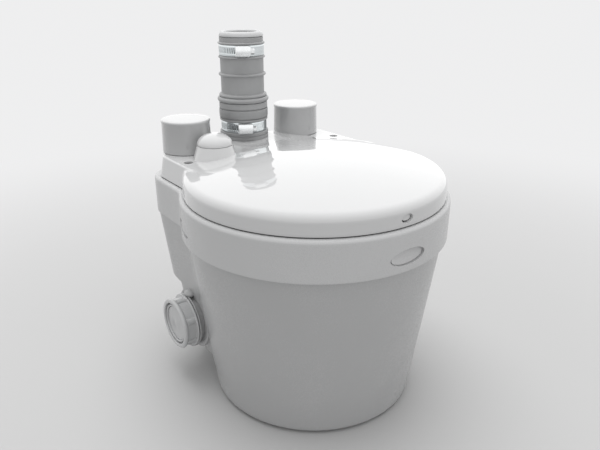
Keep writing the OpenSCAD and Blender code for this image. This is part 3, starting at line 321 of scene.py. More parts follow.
def cut(target, tools):
    """Cuts the tools out of the target and removes them."""
    for tool in tools:
        mod = target.modifiers.new("cut", "BOOLEAN")
        mod.operation = "DIFFERENCE"
        mod.object = tool
        mod.solver = "EXACT"
        with bpy.context.temp_override(object=target, active_object=target):
            bpy.ops.object.modifier_apply(modifier=mod.name)
        bpy.data.objects.remove(tool)
    smooth(target.data, 30.0)


def oval_tool(name, angle, radius, z, a, b, depth, tilt=0.17, lean=0.045, groove=1.6):
    """A cutter for an oval recess, made of ovals (a cos t, b sin t) in the plane across the direction angle.

    Its floor lies depth under the surface, tilt times the rise deeper towards the top and lean times the run
    deeper towards the right, with a groove along its lower edge and right end. The mouth is 0.4 mm wider."""
    t = circle(128)
    low = groove * smoothstep((0.75 - np.sin(t + 0.5)) / 0.5)
    rows = []
    steps = ((0, -a), (0, -1.7), (0, -1.3), (1, -1.1), (1, 0.0), (2, 0.1), (3, 0.5), (4, 0.6), (4, -a))
    for level, more in steps:
        along, up = max(a + more, 0.0) * np.cos(t), max(b + more, 0.0) * np.sin(t)
        floor = -depth - tilt * up - lean * along
        out = radius + 0 * t + (floor, floor - low, -0.9, 0.1, 6.0)[level]
        rows.append(np.stack([out * math.cos(angle) - along * math.sin(angle),
                              out * math.sin(angle) + along * math.cos(angle), z + up], -1))
    return grid(name, np.stack(rows))


def rod(name, x, y, z0, z1, r, turns=48):
    """A plain upright cutter of radius r."""
    return revolve(name, chain((0, z0), (r, z0), (r, z1), (0, z1)), (x, y, 0), turns)


def place(obj, body, slot, replaces=(), look=None):
    """Gives a piece its body, its slot's finish or that of the slot look, and the CAD nodes it stands for."""
    obj.data.materials.clear()
    obj.data.materials.append(finish(look or slot))
    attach(obj, body)
    if replaces:
        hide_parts(*replaces)
    return obj


# ---------------------------------------------------------------- finishes


# For each slot: the finish's name, its colour or the colour's name in PumpFinish, its roughness, the spread
# of its colour and gloss, the scale of its grain, the strength and depth of its relief, and the rest.
FINISHES = {
    # tank plastic: shade paints the drum darker under the collar, a painted shade
    "tank_plastic": ("tank plastic", "tank", 0.27, 0.02, 0.04, 1400.0, 0.06, 0.00006, dict(shade=0.83)),
    "lid_plastic": ("lid plastic", "lid", 0.03, 0.012, 0.01, 500.0, 0.003, 0.00003,
        dict(coat=1.0, coat_rough=0.005)),
    "cap_plastic": ("cap plastic", "cap", 0.12, 0.02, 0.03, 1100.0, 0.03, 0.00005,
        dict(coat=0.7, coat_rough=0.03)),
    "nut_plastic": ("nut plastic", "nut", 0.26, 0.03, 0.05, 1300.0, 0.06, 0.00006,
        dict(coat=0.4, coat_rough=0.1)),
    # hose rubber: shade paints the hose darker below its brim, so the brim shows lighter as if lit: painted
    # shade and light
    "hose_rubber": ("hose rubber", "hose", 0.44, 0.05, 0.08, 1500.0, 0.15, 0.0001,
        dict(blotch=45.0, shade=0.64)),
    "seal_rubber": ("black rubber", (0.035, 0.035, 0.037), 0.62, 0.15, 0.10, 1800.0, 0.3, 0.00012,
        dict(blotch=60.0)),
    # clip steel: its streaked colour is partly the steel's grain and partly painted reflection
    "clip_steel": ("clip steel", "steel", 0.20, 0.05, 0.08, 420.0, 0.12, 0.00004,
        dict(metallic=1.0, blotch=60.0, stretch=(1.0, 1.0, 9.0))),
    "screw_steel": ("screw steel", (0.74, 0.755, 0.76), 0.27, 0.06, 0.08, 700.0, 0.12, 0.00004,
        dict(metallic=1.0, blotch=90.0)),
    "dull_zinc": ("dull zinc", (0.13, 0.13, 0.135), 0.45, 0.1, 0.08, 700.0, 0.15, 0.00005,
        dict(metallic=0.6)),
    "inner_plastic": ("inner plastic", (0.62, 0.62, 0.61), 0.42, 0.03, 0.06, 900.0, 0.12, 0.0001, {}),
    "pump_plastic": ("pump plastic", (0.10, 0.105, 0.11), 0.46, 0.12, 0.08, 800.0, 0.25, 0.00015, {}),
    "impeller_plastic": ("impeller plastic", (0.28, 0.29, 0.31), 0.42, 0.08, 0.08, 900.0, 0.2, 0.0001, {}),
    "charcoal": ("charcoal foam", (0.025, 0.025, 0.027), 0.9, 0.3, 0.05, 260.0, 0.9, 0.0006, {}),
    "motor_paint": ("motor paint", (0.11, 0.13, 0.16), 0.36, 0.05, 0.08, 500.0, 0.15, 0.0001, dict(coat=0.3)),
    "copper": ("copper windings", (0.60, 0.27, 0.12), 0.34, 0.15, 0.1, 160.0, 0.7, 0.0006,
        dict(metallic=1.0, stretch=(1.0, 1.0, 5.0))),
    "capacitor_can": ("capacitor can", (0.72, 0.72, 0.73), 0.3, 0.04, 0.08, 600.0, 0.1, 0.0001,
        dict(metallic=1.0, stretch=(1.0, 12.0, 12.0))),
    "switch_plastic": ("switch plastic", (0.06, 0.06, 0.068), 0.4, 0.1, 0.08, 900.0, 0.15, 0.0001, {}),
    "seal_ceramic": ("seal faces", (0.72, 0.71, 0.68), 0.25, 0.05, 0.06, 700.0, 0.06, 0.00005, {}),
}


def adder(tree):
    """A function that adds a node with its settings, and with the values and the links of its sockets."""

    def add(kind, values=None, links=None, **settings):
        node = tree.nodes.new(kind)
        for key, value in settings.items():
            setattr(node, key, value)
        for key, value in (values or {}).items():
            node.inputs[key].default_value = value
        for key, source in (links or {}).items():
            tree.links.new(source, node.inputs[key])
        return node

    return add


def new_material(name):
    """An empty material, its shader, and the function that adds a node to it."""
    made = bpy.data.materials.new(name)
    made.use_nodes = True
    return made, made.node_tree.nodes["Principled BSDF"], adder(made.node_tree)


def drift(add, source, base, swing, ends=(0.0, 1.0)):
    """A colour that follows the source between the ends, from (1 - swing) to (1 + swing) times the base."""
    ramp = add("ShaderNodeValToRGB", None, {"Fac": source})
    for stop, at, share in zip(ramp.color_ramp.elements, ends, (1.0 - swing, 1.0 + swing)):
        stop.position = at
        stop.color = (*[min(1.0, c * share) for c in base], 1.0)
    return ramp.outputs["Color"]


def speckled(name, base, rough, spread_c, spread_r, grain, bump, depth, metallic=0.0, coat=0.0,
             coat_rough=0.05, blotch=9.0, stretch=(1.0, 1.0, 1.0), painted_shade_top=0.0, shade=1.0):
    """A finish whose colour drifts slowly over the piece, with a fine grain in its gloss and its surface.

    Below the height painted_shade_top the colour is multiplied by shade: a painted shade on what lies lower."""
    made, shader, add = new_material(name)
    where = add("ShaderNodeTexCoord").outputs["Object"]
    along = add("ShaderNodeMapping", {"Scale": stretch}, {"Vector": where}).outputs["Vector"]
    slow = add("ShaderNodeTexNoise", {"Scale": blotch, "Detail": 4.0}, {"Vector": along}).outputs["Fac"]
    fine = add("ShaderNodeTexNoise", {"Scale": grain, "Detail": 3.0}, {"Vector": along}).outputs["Fac"]
    tone = drift(add, slow, base, spread_c, (0.3, 0.7))
    # painted shade: the colour is darkened below the given height
    if shade < 1.0:
        height = add("ShaderNodeSeparateXYZ", None, {"Vector": where}).outputs["Z"]
        run = {"From Min": painted_shade_top - 0.6 * MM, "From Max": painted_shade_top, "To Min": shade}
        level = add("ShaderNodeMapRange", run, {"Value": height}).outputs["Result"]
        painted_shade_tone = add("ShaderNodeVectorMath", None, {0: tone, "Scale": level}, operation="SCALE")
        tone = painted_shade_tone.outputs["Vector"]
    both = add("ShaderNodeMath", None, {0: slow, 1: fine}, operation="ADD").outputs["Value"]
    run = {"From Max": 2.0, "To Min": max(0.02, rough - spread_r), "To Max": min(1.0, rough + spread_r)}
    gloss = add("ShaderNodeMapRange", run, {"Value": both}).outputs["Result"]
    relief = add("ShaderNodeBump", {"Strength": bump, "Distance": depth}, {"Height": fine}).outputs["Normal"]
    for key, source in (("Base Color", tone), ("Roughness", gloss), ("Normal", relief)):
        made.node_tree.links.new(source, shader.inputs[key])
    for key, value in (("Metallic", metallic), ("Coat Weight", coat), ("Coat Roughness", coat_rough)):
        shader.inputs[key].default_value = value
    return made


def finish(slot):
    """A slot's finish, made once. The tank gets a painted shade under its collar, the hose a painted shade
    under its brim, so that its brim shows painted lighter.
    """
    scene = bpy.context.scene
    name, base, *numbers, more = FINISHES[slot]
    if name in bpy.data.materials:
        return bpy.data.materials[name]
    if isinstance(base, str):
        base = getattr(scene.pump_finish, base)
    # the heights under which the tank and the hose take their painted shade
    painted_shade_tops = {"tank_plastic": scene.pump_tank.lip_z - 0.2,
            "hose_rubber": scene.pump_lid.saddle_z + scene.pump_hose.height - scene.pump_hose.brim_h}
    return speckled(name, base, *numbers, painted_shade_top=painted_shade_tops.get(slot, 0.0) * MM, **more)


# ---------------------------------------------------------------- shapes


def tank_outline(sizes, turn, z):
    """Outer radius of the tank in the direction turn, counted from the rear, at the height z.

    It is the smooth maximum of the drum's radius, which grows in a straight line with height, and the reach
    of the rounded rear box, whose walls lean out and whose rear wall steps back above step_z. Under the box
    only the riser's round well stands out, and the box's lower edge is drawn in along a circle."""
    s, c = np.sin(turn), np.cos(turn)
    drum = sizes.floor_r + (sizes.collar_r - sizes.lip - sizes.floor_r) / sizes.lip_z * z
    if z < sizes.box_foot:
        return smax(drum, circle_reach(s, c, 0.0, sizes.riser_y, sizes.well_r), 1.6)
    low = max(sizes.box_foot + sizes.under_r - z, 0.0)
    drawn = sizes.under_r - math.sqrt(sizes.under_r ** 2 - low ** 2)
    half = sizes.box_half + sizes.lean * z - drawn
    stepped = sizes.step * (1 - smoothstep((z - sizes.step_z) / 3.5))
    rear = sizes.box_rear - sizes.lean * (sizes.lip_z - z) - stepped - drawn
    return smax(drum, box_reach(s, c, half, rear, sizes.corner_r), 2.4)


def collar_outline(sizes, turn):
    """Outer radius of the collar: the smooth maximum of its circle and of the rounded box behind it."""
    half = sizes.box_half + sizes.lean * sizes.lip_z + sizes.box_lip
    reach = box_reach(np.sin(turn), np.cos(turn), half, sizes.box_rear + sizes.box_lip, sizes.corner_r)
    return smax(sizes.collar_r, reach, 2.4)


def with_bosses(lid, s, c, reach, inset):
    """The reach of the lid's outline, or of the bosses of caps and hose where they stand out further."""
    for x, radius in ((-lid.cap_x, lid.cap_boss_r), (lid.cap_x, lid.cap_boss_r), (0.0, lid.hose_boss_r)):
        reach = np.maximum(reach, circle_reach(s, c, x, lid.service_y, radius - inset))
    return reach


def lid_outline(lid, turn, inset):
    """Outer radius of the lid at the seam, drawn in by inset: the maximum of the round lid, the deck behind
    it and the deck's bosses."""
    s, c = np.sin(turn), np.cos(turn)
    deck = box_reach(s, c, lid.deck_half - inset, lid.deck_rear - inset, lid.deck_corner - inset)
    return with_bosses(lid, s, c, smax(lid.lid_r - inset, deck, 1.6), inset)


def polar(turn, r, z):
    """Points at the radius r and height z in the directions turn, counted from the rear towards +X."""
    z = np.broadcast_to(z, r.shape)
    return np.stack([r * np.sin(turn), r * np.cos(turn), z], -1)


def tank_points(tank, lid):
    """The tank as one closed skin: the rows run from the middle of its underside out and up to the rim, over
    it, down the inside and back to the middle of the floor. A row is a height and a radius for each turn."""
    recess = [(180.0, 10.5, 4.5), (180.0 + 107.0, 10.5, 4.5), (180.0 - 107.0, 10.5, 4.5)]
    creases = [(58.0, 6.0, 2.0), (302.0, 6.0, 2.0), (36.0, 9.0, 1.2), (324.0, 9.0, 1.2)]
    turn = spread(tank.columns, recess + creases)[None, :]
    foot, under, lip, rim = tank.foot, tank.box_foot, tank.lip_z, tank.rim_z
    rows = []

    def row(z, r):
        rows.append(polar(turn, r, z)[0])

    def outline(z):
        return tank_outline(tank, turn, z)

    for share in (0.0, 0.35, 0.7, 0.9):
        row(foot, outline(foot) * share)
    for x, z in arc(0, foot, foot, -90, -4, 6):
        row(foot + z, outline(foot + z) - foot + x)
    for z in (10, 14, 20, 28, under - 0.8, under - 0.01):
        row(z, outline(z))
    row(under, np.maximum(outline(under - 0.01), outline(under) - 3.0))
    for x, z in arc(0, tank.under_r, tank.under_r, -90, 0, 7):
        row(under + z, outline(under + z))
    step_rows = tank.step_z + np.array([-3.5, 0, 0.5, 1.0, 1.5, 2.1, 2.7, 3.2, 3.7, 5.0])
    for z in (40, 60, 80, 95, *step_rows, 116, 130, 150, 170, 182):
        row(z, outline(z))
    wall = outline(lip)
    collar = collar_outline(tank, turn)
    row(lip - 1.2, wall)
    row(lip - 0.3, wall + 0.25)
    row(lip, np.maximum(wall + 1.0, collar - 3.2))
    row(lip, np.maximum(wall + 0.8, collar - 1.2))
    for x, z in arc(-1.1, 1.1, 1.1, -70, 0, 3):
        row(lip + z, np.maximum(collar + x, wall + 0.9))
    for z in np.linspace(lip + 3.0, rim - 5.0, 18):
        row(z, collar)
    for x, z in arc(-4.0, -4.0, 4.0, 0, 90, 7):
        row(rim + z, collar + x)
    mouth = lid_outline(lid, turn, 6.0)
    for x, z in ((0.8, 0.0), (0.25, -0.3), (0.0, -0.9), (0.0, -6.0)):
        row(rim + z, mouth + x)
    row(rim - 6.01, np.maximum(wall - tank.wall, mouth))
    for z in (lip, 150, 116, tank.step_z + 3.7 + tank.wall, tank.step_z + tank.wall, 80, 46, under + 5.5):
        row(z, outline(z - tank.wall if z < 116 else z) - tank.wall)
    row(under + tank.wall, outline(under + tank.under_r) - tank.wall - 2.0)
    for z in (under + tank.wall - 0.01, 20, 12):
        row(z, outline(min(z, under - 0.01)) - tank.wall)
    floor_z = foot + 2.5
    floor_in = outline(floor_z) - tank.wall
    row(floor_z + 1.5, floor_in)
    row(floor_z, floor_in - 2.0)
    for share in (0.7, 0.35, 0.0):
        row(floor_z, floor_in * share)
    return np.stack(rows)


def lid_top(lid, x, y):
    """Height of the lid's top at (x, y): the smooth maximum of the dome, a sphere of radius dome_r under the
    crown, and the deck, which is flat but for the saddle that rises between its two slopes behind y = 60 and
    falls away under the dome in front, so that no ring shows there."""
    r2 = x * x + y * y
    dome = lid.dome_z - (lid.dome_r - np.sqrt(lid.dome_r ** 2 - r2))
    rise = np.clip((78.0 - np.abs(x)) / 44.0, 0.0, 1.0) * smoothstep((y - 52.0) / 22.0)
    deck = lid.deck_z + (lid.saddle_z - lid.deck_z) * rise - 12.0 * (1.0 - smoothstep(y / 40.0))
    return smax(dome, deck, 1.6) - 0.06


def lid_edge(lid):
    """Height of the centre of the lid's rounded edge, an arc that touches both the upright side and the
    dome's sphere, and the height where the arc meets the dome."""
    centre = lid.dome_z - lid.dome_r
    rise = math.sqrt((lid.dome_r - lid.edge_r) ** 2 - (lid.lid_r - lid.edge_r) ** 2)
    return centre + rise, centre + rise * lid.dome_r / (lid.dome_r - lid.edge_r)


def lid_side(lid, z):
    """Radius of the round lid at the height z: first upright, then the edge's arc, then the dome."""
    edge_z, meet_z = lid_edge(lid)
    above = np.clip(z - edge_z, 0.0, lid.edge_r)
    on_edge = lid.lid_r - lid.edge_r + np.sqrt(lid.edge_r ** 2 - above ** 2)
    drop = lid.dome_z - z
    on_dome = np.sqrt(np.maximum(lid.dome_r ** 2 - (lid.dome_r - drop) ** 2, 0.0))
    return np.where(z <= meet_z, on_edge, on_dome)


def lid_points(lid):
    """The lid as one closed skin: rows run from the seam up its side and over the top to the crown, and back
    inside at the wall's thickness. The top's rows lie at even shares of its outline."""
    spots = [(180.0, 3.4, 9.0), (57.2, 5.0, 3.0), (302.8, 5.0, 3.0), (29.0, 8.0, 1.5), (331.0, 8.0, 1.5),
             (12.5, 3.0, 2.0), (347.5, 3.0, 2.0), (45.0, 4.0, 1.0), (315.0, 4.0, 1.0)]
    turn = spread(lid.columns, spots)[None, :]
    s, c = np.sin(turn), np.cos(turn)
    seam, top, rounding = lid.seam_z, lid.deck_z, 2.0
    edge_z, meet_z = lid_edge(lid)
    edge_turns = np.linspace(math.radians(3.0), math.asin((meet_z - edge_z) / lid.edge_r), 10)
    deck_turns = np.radians([20, 40, 58, 74, 90])
    sides = np.concatenate([[seam + 0.8, seam + 2.5], np.linspace(seam + 3.4, seam + 12.2, 11),
                            edge_z + lid.edge_r * np.sin(edge_turns),
                            top - rounding + rounding * np.sin(deck_turns)])

    def side_radius(z, shrink):
        lean = lid.draft * np.clip((z - seam) / (top - seam - rounding), 0.0, 1.0)
        over = max(z - (top - rounding), 0.0)
        drawn = rounding - math.sqrt(max(rounding ** 2 - over * over, 0.0)) + shrink
        deck = box_reach(s, c, lid.deck_half - 0.9 * lean - drawn, lid.deck_rear - lean - drawn,
                         lid.deck_corner - lean - drawn)
        reach = smax(lid_side(lid, np.full_like(turn, z)) - shrink, deck, 1.6)
        return with_bosses(lid, s, c, reach, drawn)

    def lifted(z, r):
        """Behind, the rows are spread up to where the saddle meets the deck's edge."""
        up = np.maximum(lid_top(lid, r * s, r * c) - top, 0.0) * (z - seam) / (top - seam)
        return z + np.where((c > 0.5) & (r > 126.0), up, 0.0)

    rows = []

    def row(r, z):
        rows.append(polar(turn, r, z)[0])

    foot = side_radius(seam, 0.0)
    row(foot - 0.7, seam)
    row(foot - 0.15, seam + 0.25)
    for z in np.sort(sides[sides <= top]):
        r = side_radius(z, 0.0)
        row(r, lifted(z, r))
    edge = side_radius(top, 0.0)
    outer = np.concatenate([np.linspace(0.99, 0.6, 52), np.linspace(0.57, 0.0, 14)])
    inner = np.concatenate([np.linspace(0.0, 0.5, 6), np.linspace(0.6, 0.94, 8)])
    for shares, under in ((outer, 0.0), (inner, lid.wall)):
        for r in (edge * share for share in shares):
            row(r, lid_top(lid, r * s, r * c) - under)
    for z in (top - lid.wall - 1.0, top - 8.0, seam + 3.0, seam):
        row(side_radius(z, lid.wall), z)
    return np.stack(rows + rows[:1])


def join(name, parts):
    """One object made of several, all in place."""
    bm = bmesh.new()
    for part in parts:
        bm.from_mesh(part.data)
        bpy.data.objects.remove(part)
    mesh = bpy.data.meshes.new(name)
    bm.to_mesh(mesh)
    bm.free()
    return put(name, mesh)


class PUMP_OT_tank(bpy.types.Operator):
    """Make the tank, its rubber pads and the seal on its rim"""

    bl_idname = "pump.tank"
    bl_label = "Tank"

    def execute(self, context):
        tank, lid, inlet = context.scene.pump_tank, context.scene.pump_lid, context.scene.pump_inlet

        skin = grid("tank_skin", tank_points(tank, lid), sharp=40.0)
        tools = [oval_tool("recess", math.radians(-90.0 + turn), tank.collar_r, tank.lip_z + tank.recess_z,
                           tank.recess_l, tank.recess_w, tank.recess_d) for turn in (-0.9, 107.0, -107.0)]
        at, root = (0, inlet.inlet_y, inlet.inlet_z), inlet.root
        bore = about(0, root, (0, -6), (inlet.bore_r + 1.0, -6), (inlet.bore_r + 1.0, 24), (0, 24))
        tools += [revolve("bore", bore, at, 96, side) for side in (-1, 1)]
        cut(skin, tools)
        place(skin, "tank_body", "tank_plastic", ["tank"])
        boss = loop(chain(
            about(inlet.bore_r, root, (0, 0), (2.1, 0), (2.5, 0.4), (2.5, 6.0)),
            about(inlet.boss_r, root, (-3, 6.6), (0, 7.5)),
            arc(inlet.boss_r - 1.6, root + 12.4, 1.6, 0, 90, 5), (inlet.boss_r - 4.4, root + 14.0),
            about(inlet.nut_r, root, (-2.6, 13.0), (-2.6, 18.4), (0.6, 18.6)),
            arc(inlet.nut_r + 0.9, root + 19.7, 0.9, -50, 60, 5), (inlet.nut_r - 0.2, root + 20.8),
            about(inlet.thread_r, inlet.tip, (0, -7.8), (0, -0.4), (-0.4, 0)),
            about(inlet.bore_r, inlet.tip, (0.4, 0), (0, -0.4))))
        lug = arc(0, 0, 1.0, -90, 90, 12) * (6.8, 4.6)
        for side, word in SIDES:
            parts = [revolve("inlet_boss", boss, at, 144, side)]
            parts += [revolve("lug", lug, (side * (root + 15.5), at[1], at[2] + up), 32)
                      for up in (-32.8, 32.8)]
            place(join("inlet_boss_" + word, parts), "tank_body", "tank_plastic")
        turn = circle(720)[None, :]
        seam = [(tank.rim_z, 1.2), (tank.rim_z + 0.65, 0.9), (lid.seam_z, 1.2), (lid.seam_z, 4.8),
                (tank.rim_z, 4.8), (tank.rim_z, 1.2)]
        rows = [polar(turn, lid_outline(lid, turn, inset), z)[0] for z, inset in seam]
        place(grid("lid_seal_ring", np.stack(rows)), "tank_body", "seal_rubber", ["lid_seal"])
        pad = chain((0, 0), (11.2, 0), (11.8, 0.3), (12, 1.0), (12, 3.4), (0, 3.4))
        spots = [(x, y, 0) for x in (-tank.pad_at, tank.pad_at) for y in (-tank.pad_at, tank.pad_at)]
        pads = [revolve("pad", pad, spot, 64) for spot in [(0, 0, 0), (0, tank.riser_y, 0)] + spots]
        place(join("rubber_pads", pads), "tank_body", "seal_rubber", ["tank_feet"])
        return {"FINISHED"}


class PUMP_OT_lid(bpy.types.Operator):
    """Make the domed lid with its deck, its screw wells and the cone of the vent"""

    bl_idname = "pump.lid"
    bl_label = "Lid"

    def execute(self, context):
        lid = context.scene.pump_lid
        skin = grid("lid_skin", lid_points(lid), sharp=40.0)
        under, over = lid.deck_z - 20.0, lid.deck_z + 14.0
        tools = [rod("spigot_hole", 0.0, lid.service_y, under, over, 21.8, 96),
                 rod("vent_hole", -lid.vent_x, lid.vent_y, under, over, 12.0, 64),
                 oval_tool("notch", math.radians(-91.3), lid.lid_r, lid.seam_z + 8.0, 6.6, 3.8, 2.2, 0.15,
                           0.03, 1.5)]
        for side in (-1, 1):
            tools.append(rod("well", side * lid.screw_x, lid.screw_y, lid.deck_z - 13.0, lid.deck_z + 6.0,
                             lid.screw_well_r))
            tools.append(rod("tube_hole", side * lid.cap_x, lid.service_y, under, over, 23.6, 96))
        cut(skin, tools)
        place(skin, "lid_body", "lid_plastic", ["lid"])
        cup = loop(about(lid.screw_well_r, lid.deck_z, (-2.7, -13.7), (0, -13.7), (0, -1.8), (1.2, -3.2),
                         (1.4, -15.7), (-2.7, -15.7)))
        cups = [revolve("cup", cup, (side * lid.screw_x, lid.screw_y, 0), 48) for side in (-1, 1)]
        place(join("screw_wells", cups), "lid_body", "lid_plastic")
        run = (lid.vent_r - lid.vent_top_r) / (lid.vent_top - lid.deck_z)
        foot = lid.deck_z - 6.0
        cone = loop(chain(
            (12.0, foot), (lid.vent_r + 6.0 * run, foot), (lid.vent_top_r + 0.25, lid.vent_top - 0.8),
            arc(lid.vent_top_r - 0.6, lid.vent_top - 0.8, 0.8, 10, 90, 4), (15.0, lid.vent_top),
            (15.0, foot + 7.0), (12.0, foot + 7.0)))
        piece = revolve("vent_cone", cone, (-lid.vent_x, lid.vent_y, 0), 144)
        place(piece, "lid_body", "lid_plastic")
        return {"FINISHED"}


class PUMP_OT_caps(bpy.types.Operator):
    """Make the two inlet caps and the vent's domed cap"""

    bl_idname = "pump.caps"
    bl_label = "Caps"

    def execute(self, context):
        lid = context.scene.pump_lid
        foot, top, r = lid.deck_z + 0.3, lid.cap_top, lid.cap_r
        profile = chain((24.3, foot), (r - 0.5, foot), (r, foot + 0.5), (r - 0.7, top - 3.7),
                        (r - 0.35, top - 3.1), arc(r - 2.0, top - 1.8, 1.7, 4, 84, 8), (r - 8, top - 0.1),
                        about(0, top, (12, 0), (0, 0), (0, -3), (24.3, -3)), (24.3, foot))
        for side, word in SIDES:
            piece = revolve("inlet_cap_" + word, profile, (side * lid.cap_x, lid.service_y, 0), 160)
            place(piece, "cap_%s_body" % word, "cap_plastic", ["top_cap_" + word])
        foot, rise, r = lid.vent_top + 0.3, 11.9, lid.vent_top_r
        a = np.linspace(0, math.pi / 2, 15)
        dome = np.stack([(r - 0.1) * np.cos(a) ** 0.94, foot + 0.5 + rise * np.sin(a)], 1)
        dome[-1, 0] = 0.0
        profile = chain(about(0, foot, (0, 0.5), (12.7, 0.5), (12.7, -1.5), (14.7, -1.5), (14.7, 0)),
                        (r - 0.5, foot), dome)
        piece = revolve("vent_dome", profile, (-lid.vent_x, lid.vent_y, 0), 144)
        place(piece, "vent_cap_body", "lid_plastic", ["vent_cap"])
        return {"FINISHED"}


def bead(z, r, half, out, n=8):
    """Profile of a rounded rib: out times the sine over the height 2 half."""
    t = np.linspace(0, math.pi, n + 1)
    return np.stack([r + out * np.sin(t), z - half * np.cos(t)], 1)


class PUMP_OT_hose(bpy.types.Operator):
    """Make the ribbed rubber hose with its bore"""

    bl_idname = "pump.hose"
    bl_label = "Hose"

    def execute(self, context):
        lid, hose = context.scene.pump_lid, context.scene.pump_hose
        low, up, h, f = hose.low_r, hose.hose_r, hose.height, hose.flange_z
        c1, c2, w = hose.lower_clip_z, hose.upper_clip_z, hose.band_w
        brim = arc(0, 0, 1.0, 0, 90, 8) * (up - hose.bore - 1.7, hose.brim_h)
        profile = loop(chain(
            (hose.spigot_r, 0), about(low, 0, (-0.6, 0), (0, 0.4), (0, 3.6), (-0.3, 3.9), (-1.1, 4.1)),
            about(low, 0, (-1.1, 4.9), (-0.3, 5.1), (0, 5.4)),
            about(low, c1, (0, -1.0), (-0.4, -0.5), (-hose.seat, -0.4), (-hose.seat, w + 0.4)),
            about(low, c1 + w, (-0.8, 0.5), (-0.4, 0.9), (-0.4, 2.7), (-0.7, 3.0), (-2.0, 3.1), (-2.0, 4.3),
                  (-0.3, 4.4), (0, 4.8)),
            about(low, f, (0, -13.6), (-0.3, -13.3), (-1.7, -13.2), (-1.7, -12.1), (-0.6, -12.0),
                  (-0.3, -11.6), (-0.5, -6.2), (-0.8, -5.5), (-2.4, -5.3)),
            arc(hose.flange_r - 2.6, f - 2.1, 2.9, -78, 82, 12),
            arc(hose.flange_r - 4.1, f + 2.6, 2.2, -70, 82, 9),
            (up, f + 5.0), bead(f + 26.5, up, 1.8, 2.4), bead(c2 - 1.9, up, 1.4, 1.9), (up, c2 - 0.5),
            (up, c2 + w + 0.2), bead(c2 + w + 1.5, up, 1.3, 1.9),
            about(up, h, (0, -6.3), (-1.0, -5.9), (-0.8, -5.4)), brim + (hose.bore + 1.9, h - hose.brim_h),
            arc(hose.bore + 1.9, h - 1.9, 1.9, 90, 180, 6), (hose.bore, 42.0), (hose.spigot_r, 38.3)))
        piece = revolve("ribbed_hose", profile, (0, lid.service_y, lid.saddle_z), 160, sharp=38.0)
        place(piece, "lid_body", "hose_rubber", ["discharge_hose"])
        return {"FINISHED"}


def ring(turn, r, z):
    """Points at the radius r and height z in the directions turn, counted from +X towards the front."""
    r = r + 0 * turn
    return np.stack([r * np.cos(turn), -r * np.sin(turn), z + 0 * turn], -1)


def clip_band(hose, r):
    """A clip's band: a ring of the band's width, with slanted slots stamped to the left of the housing.

    The point at turn t and height h has the radius r plus the thickness, less nearly all of it inside a slot.
    A slot is where the slanted turn lies within about 1 degree of the nearest multiple of the step."""
    turn = circle(960)
    degrees = np.degrees(turn)
    w, t, step = hose.band_w, hose.band_t, 5.2
    reach = smoothstep(degrees - 104.0) * smoothstep(215.0 - degrees)
    rows = [ring(turn, r, 0.0), ring(turn, r + t - 0.3, 0.0)]
    for h in [0.35] + list(np.linspace(2.0, w - 2.0, 21)) + [w - 0.35]:
        slant = degrees + (h - w / 2) * 0.35
        near = np.abs((slant - 90.0 + step / 2) % step - step / 2)
        inside = smoothstep((1.25 - near) / 0.5) * smoothstep((w * 0.29 - abs(h - w / 2)) / 0.6)
        rows.append(ring(turn, r + t - (t - 0.03) * inside * reach, h))
    rows += [ring(turn, r + t - 0.3, w), ring(turn, r, w), rows[0]]
    return np.stack(rows)


def clip_housing(hose, r):
    """The worm's housing: an arched cover over the worm. Its section is a rounded arch round the worm's axis,
    carried along the worm from one end to the other, with the ends turned in a little."""
    reach = worm_line(hose, r)
    t = np.radians(np.linspace(-100, 280, 49))
    arch = [np.sign(part) * np.abs(part) ** 0.8 for part in (np.cos(t), np.sin(t))]
    out = np.maximum(arch[0] * (hose.worm_r + 1.9), -hose.worm_r - 0.2)
    up = arch[1] * (hose.worm_r + 3.0)
    rows = []
    length = hose.worm_l / 2
    for x, k in ((-length - 0.9, 0.0), (-length - 0.9, 0.8), (-length - 1.5, 0.86), (-length - 1.5, 0.96),
                 (-length - 0.9, 1.0), (length - 2.5, 1.0), (length - 1.2, 0.96), (length + 0.2, 0.82),
                 (length + 0.4, 0.74), (length + 0.2, 0.68), (length - 0.6, 0.66), (length - 0.6, 0.0)):
        rows.append(np.stack([np.full_like(t, x), -reach - out * k, hose.band_w / 2 + up * k], -1))
    return np.stack(rows)


def clip_screw(hose, r):
    """The worm's screw, turned about the worm's line. The radius of its head is divided by the cosine of the
    angle from the middle of each side, which makes it a hexagon."""
    end, worm = hose.worm_l / 2, hose.worm_r
    profile = chain((0, -end + 0.9), (worm - 1.4, -end + 0.9),
                    about(worm, end, (-1.4, -0.8), (-0.4, -0.7), (-0.3, -0.3), (-0.3, 4.2), (-0.8, 4.7)),
                    about(0, end, (1.0, 4.8), (0.9, 4.2), (0, 4.2)))

    def hexagon(rr, h, t):
        off = (t + math.pi / 6) % (math.pi / 3) - math.pi / 6
        return np.where((rr > 2.5) & (h > end - 0.75), 0.93 * rr / np.cos(off), rr)

    return spun(profile, 96, 1, hexagon) + (0, -worm_line(hose, r), hose.band_w / 2)


def worm_line(hose, r):
    """Distance of the worm's axis from the hose's."""
    return r + hose.band_t + hose.worm_r + 0.3


def turned(points, angle, at):
    """Points turned about the upright axis by the angle and then moved to at."""
    c, s = math.cos(angle), math.sin(angle)
    x = points[..., 0] * c - points[..., 1] * s
    y = points[..., 0] * s + points[..., 1] * c
    return np.stack([x, y, points[..., 2]], -1) + np.asarray(at, float)


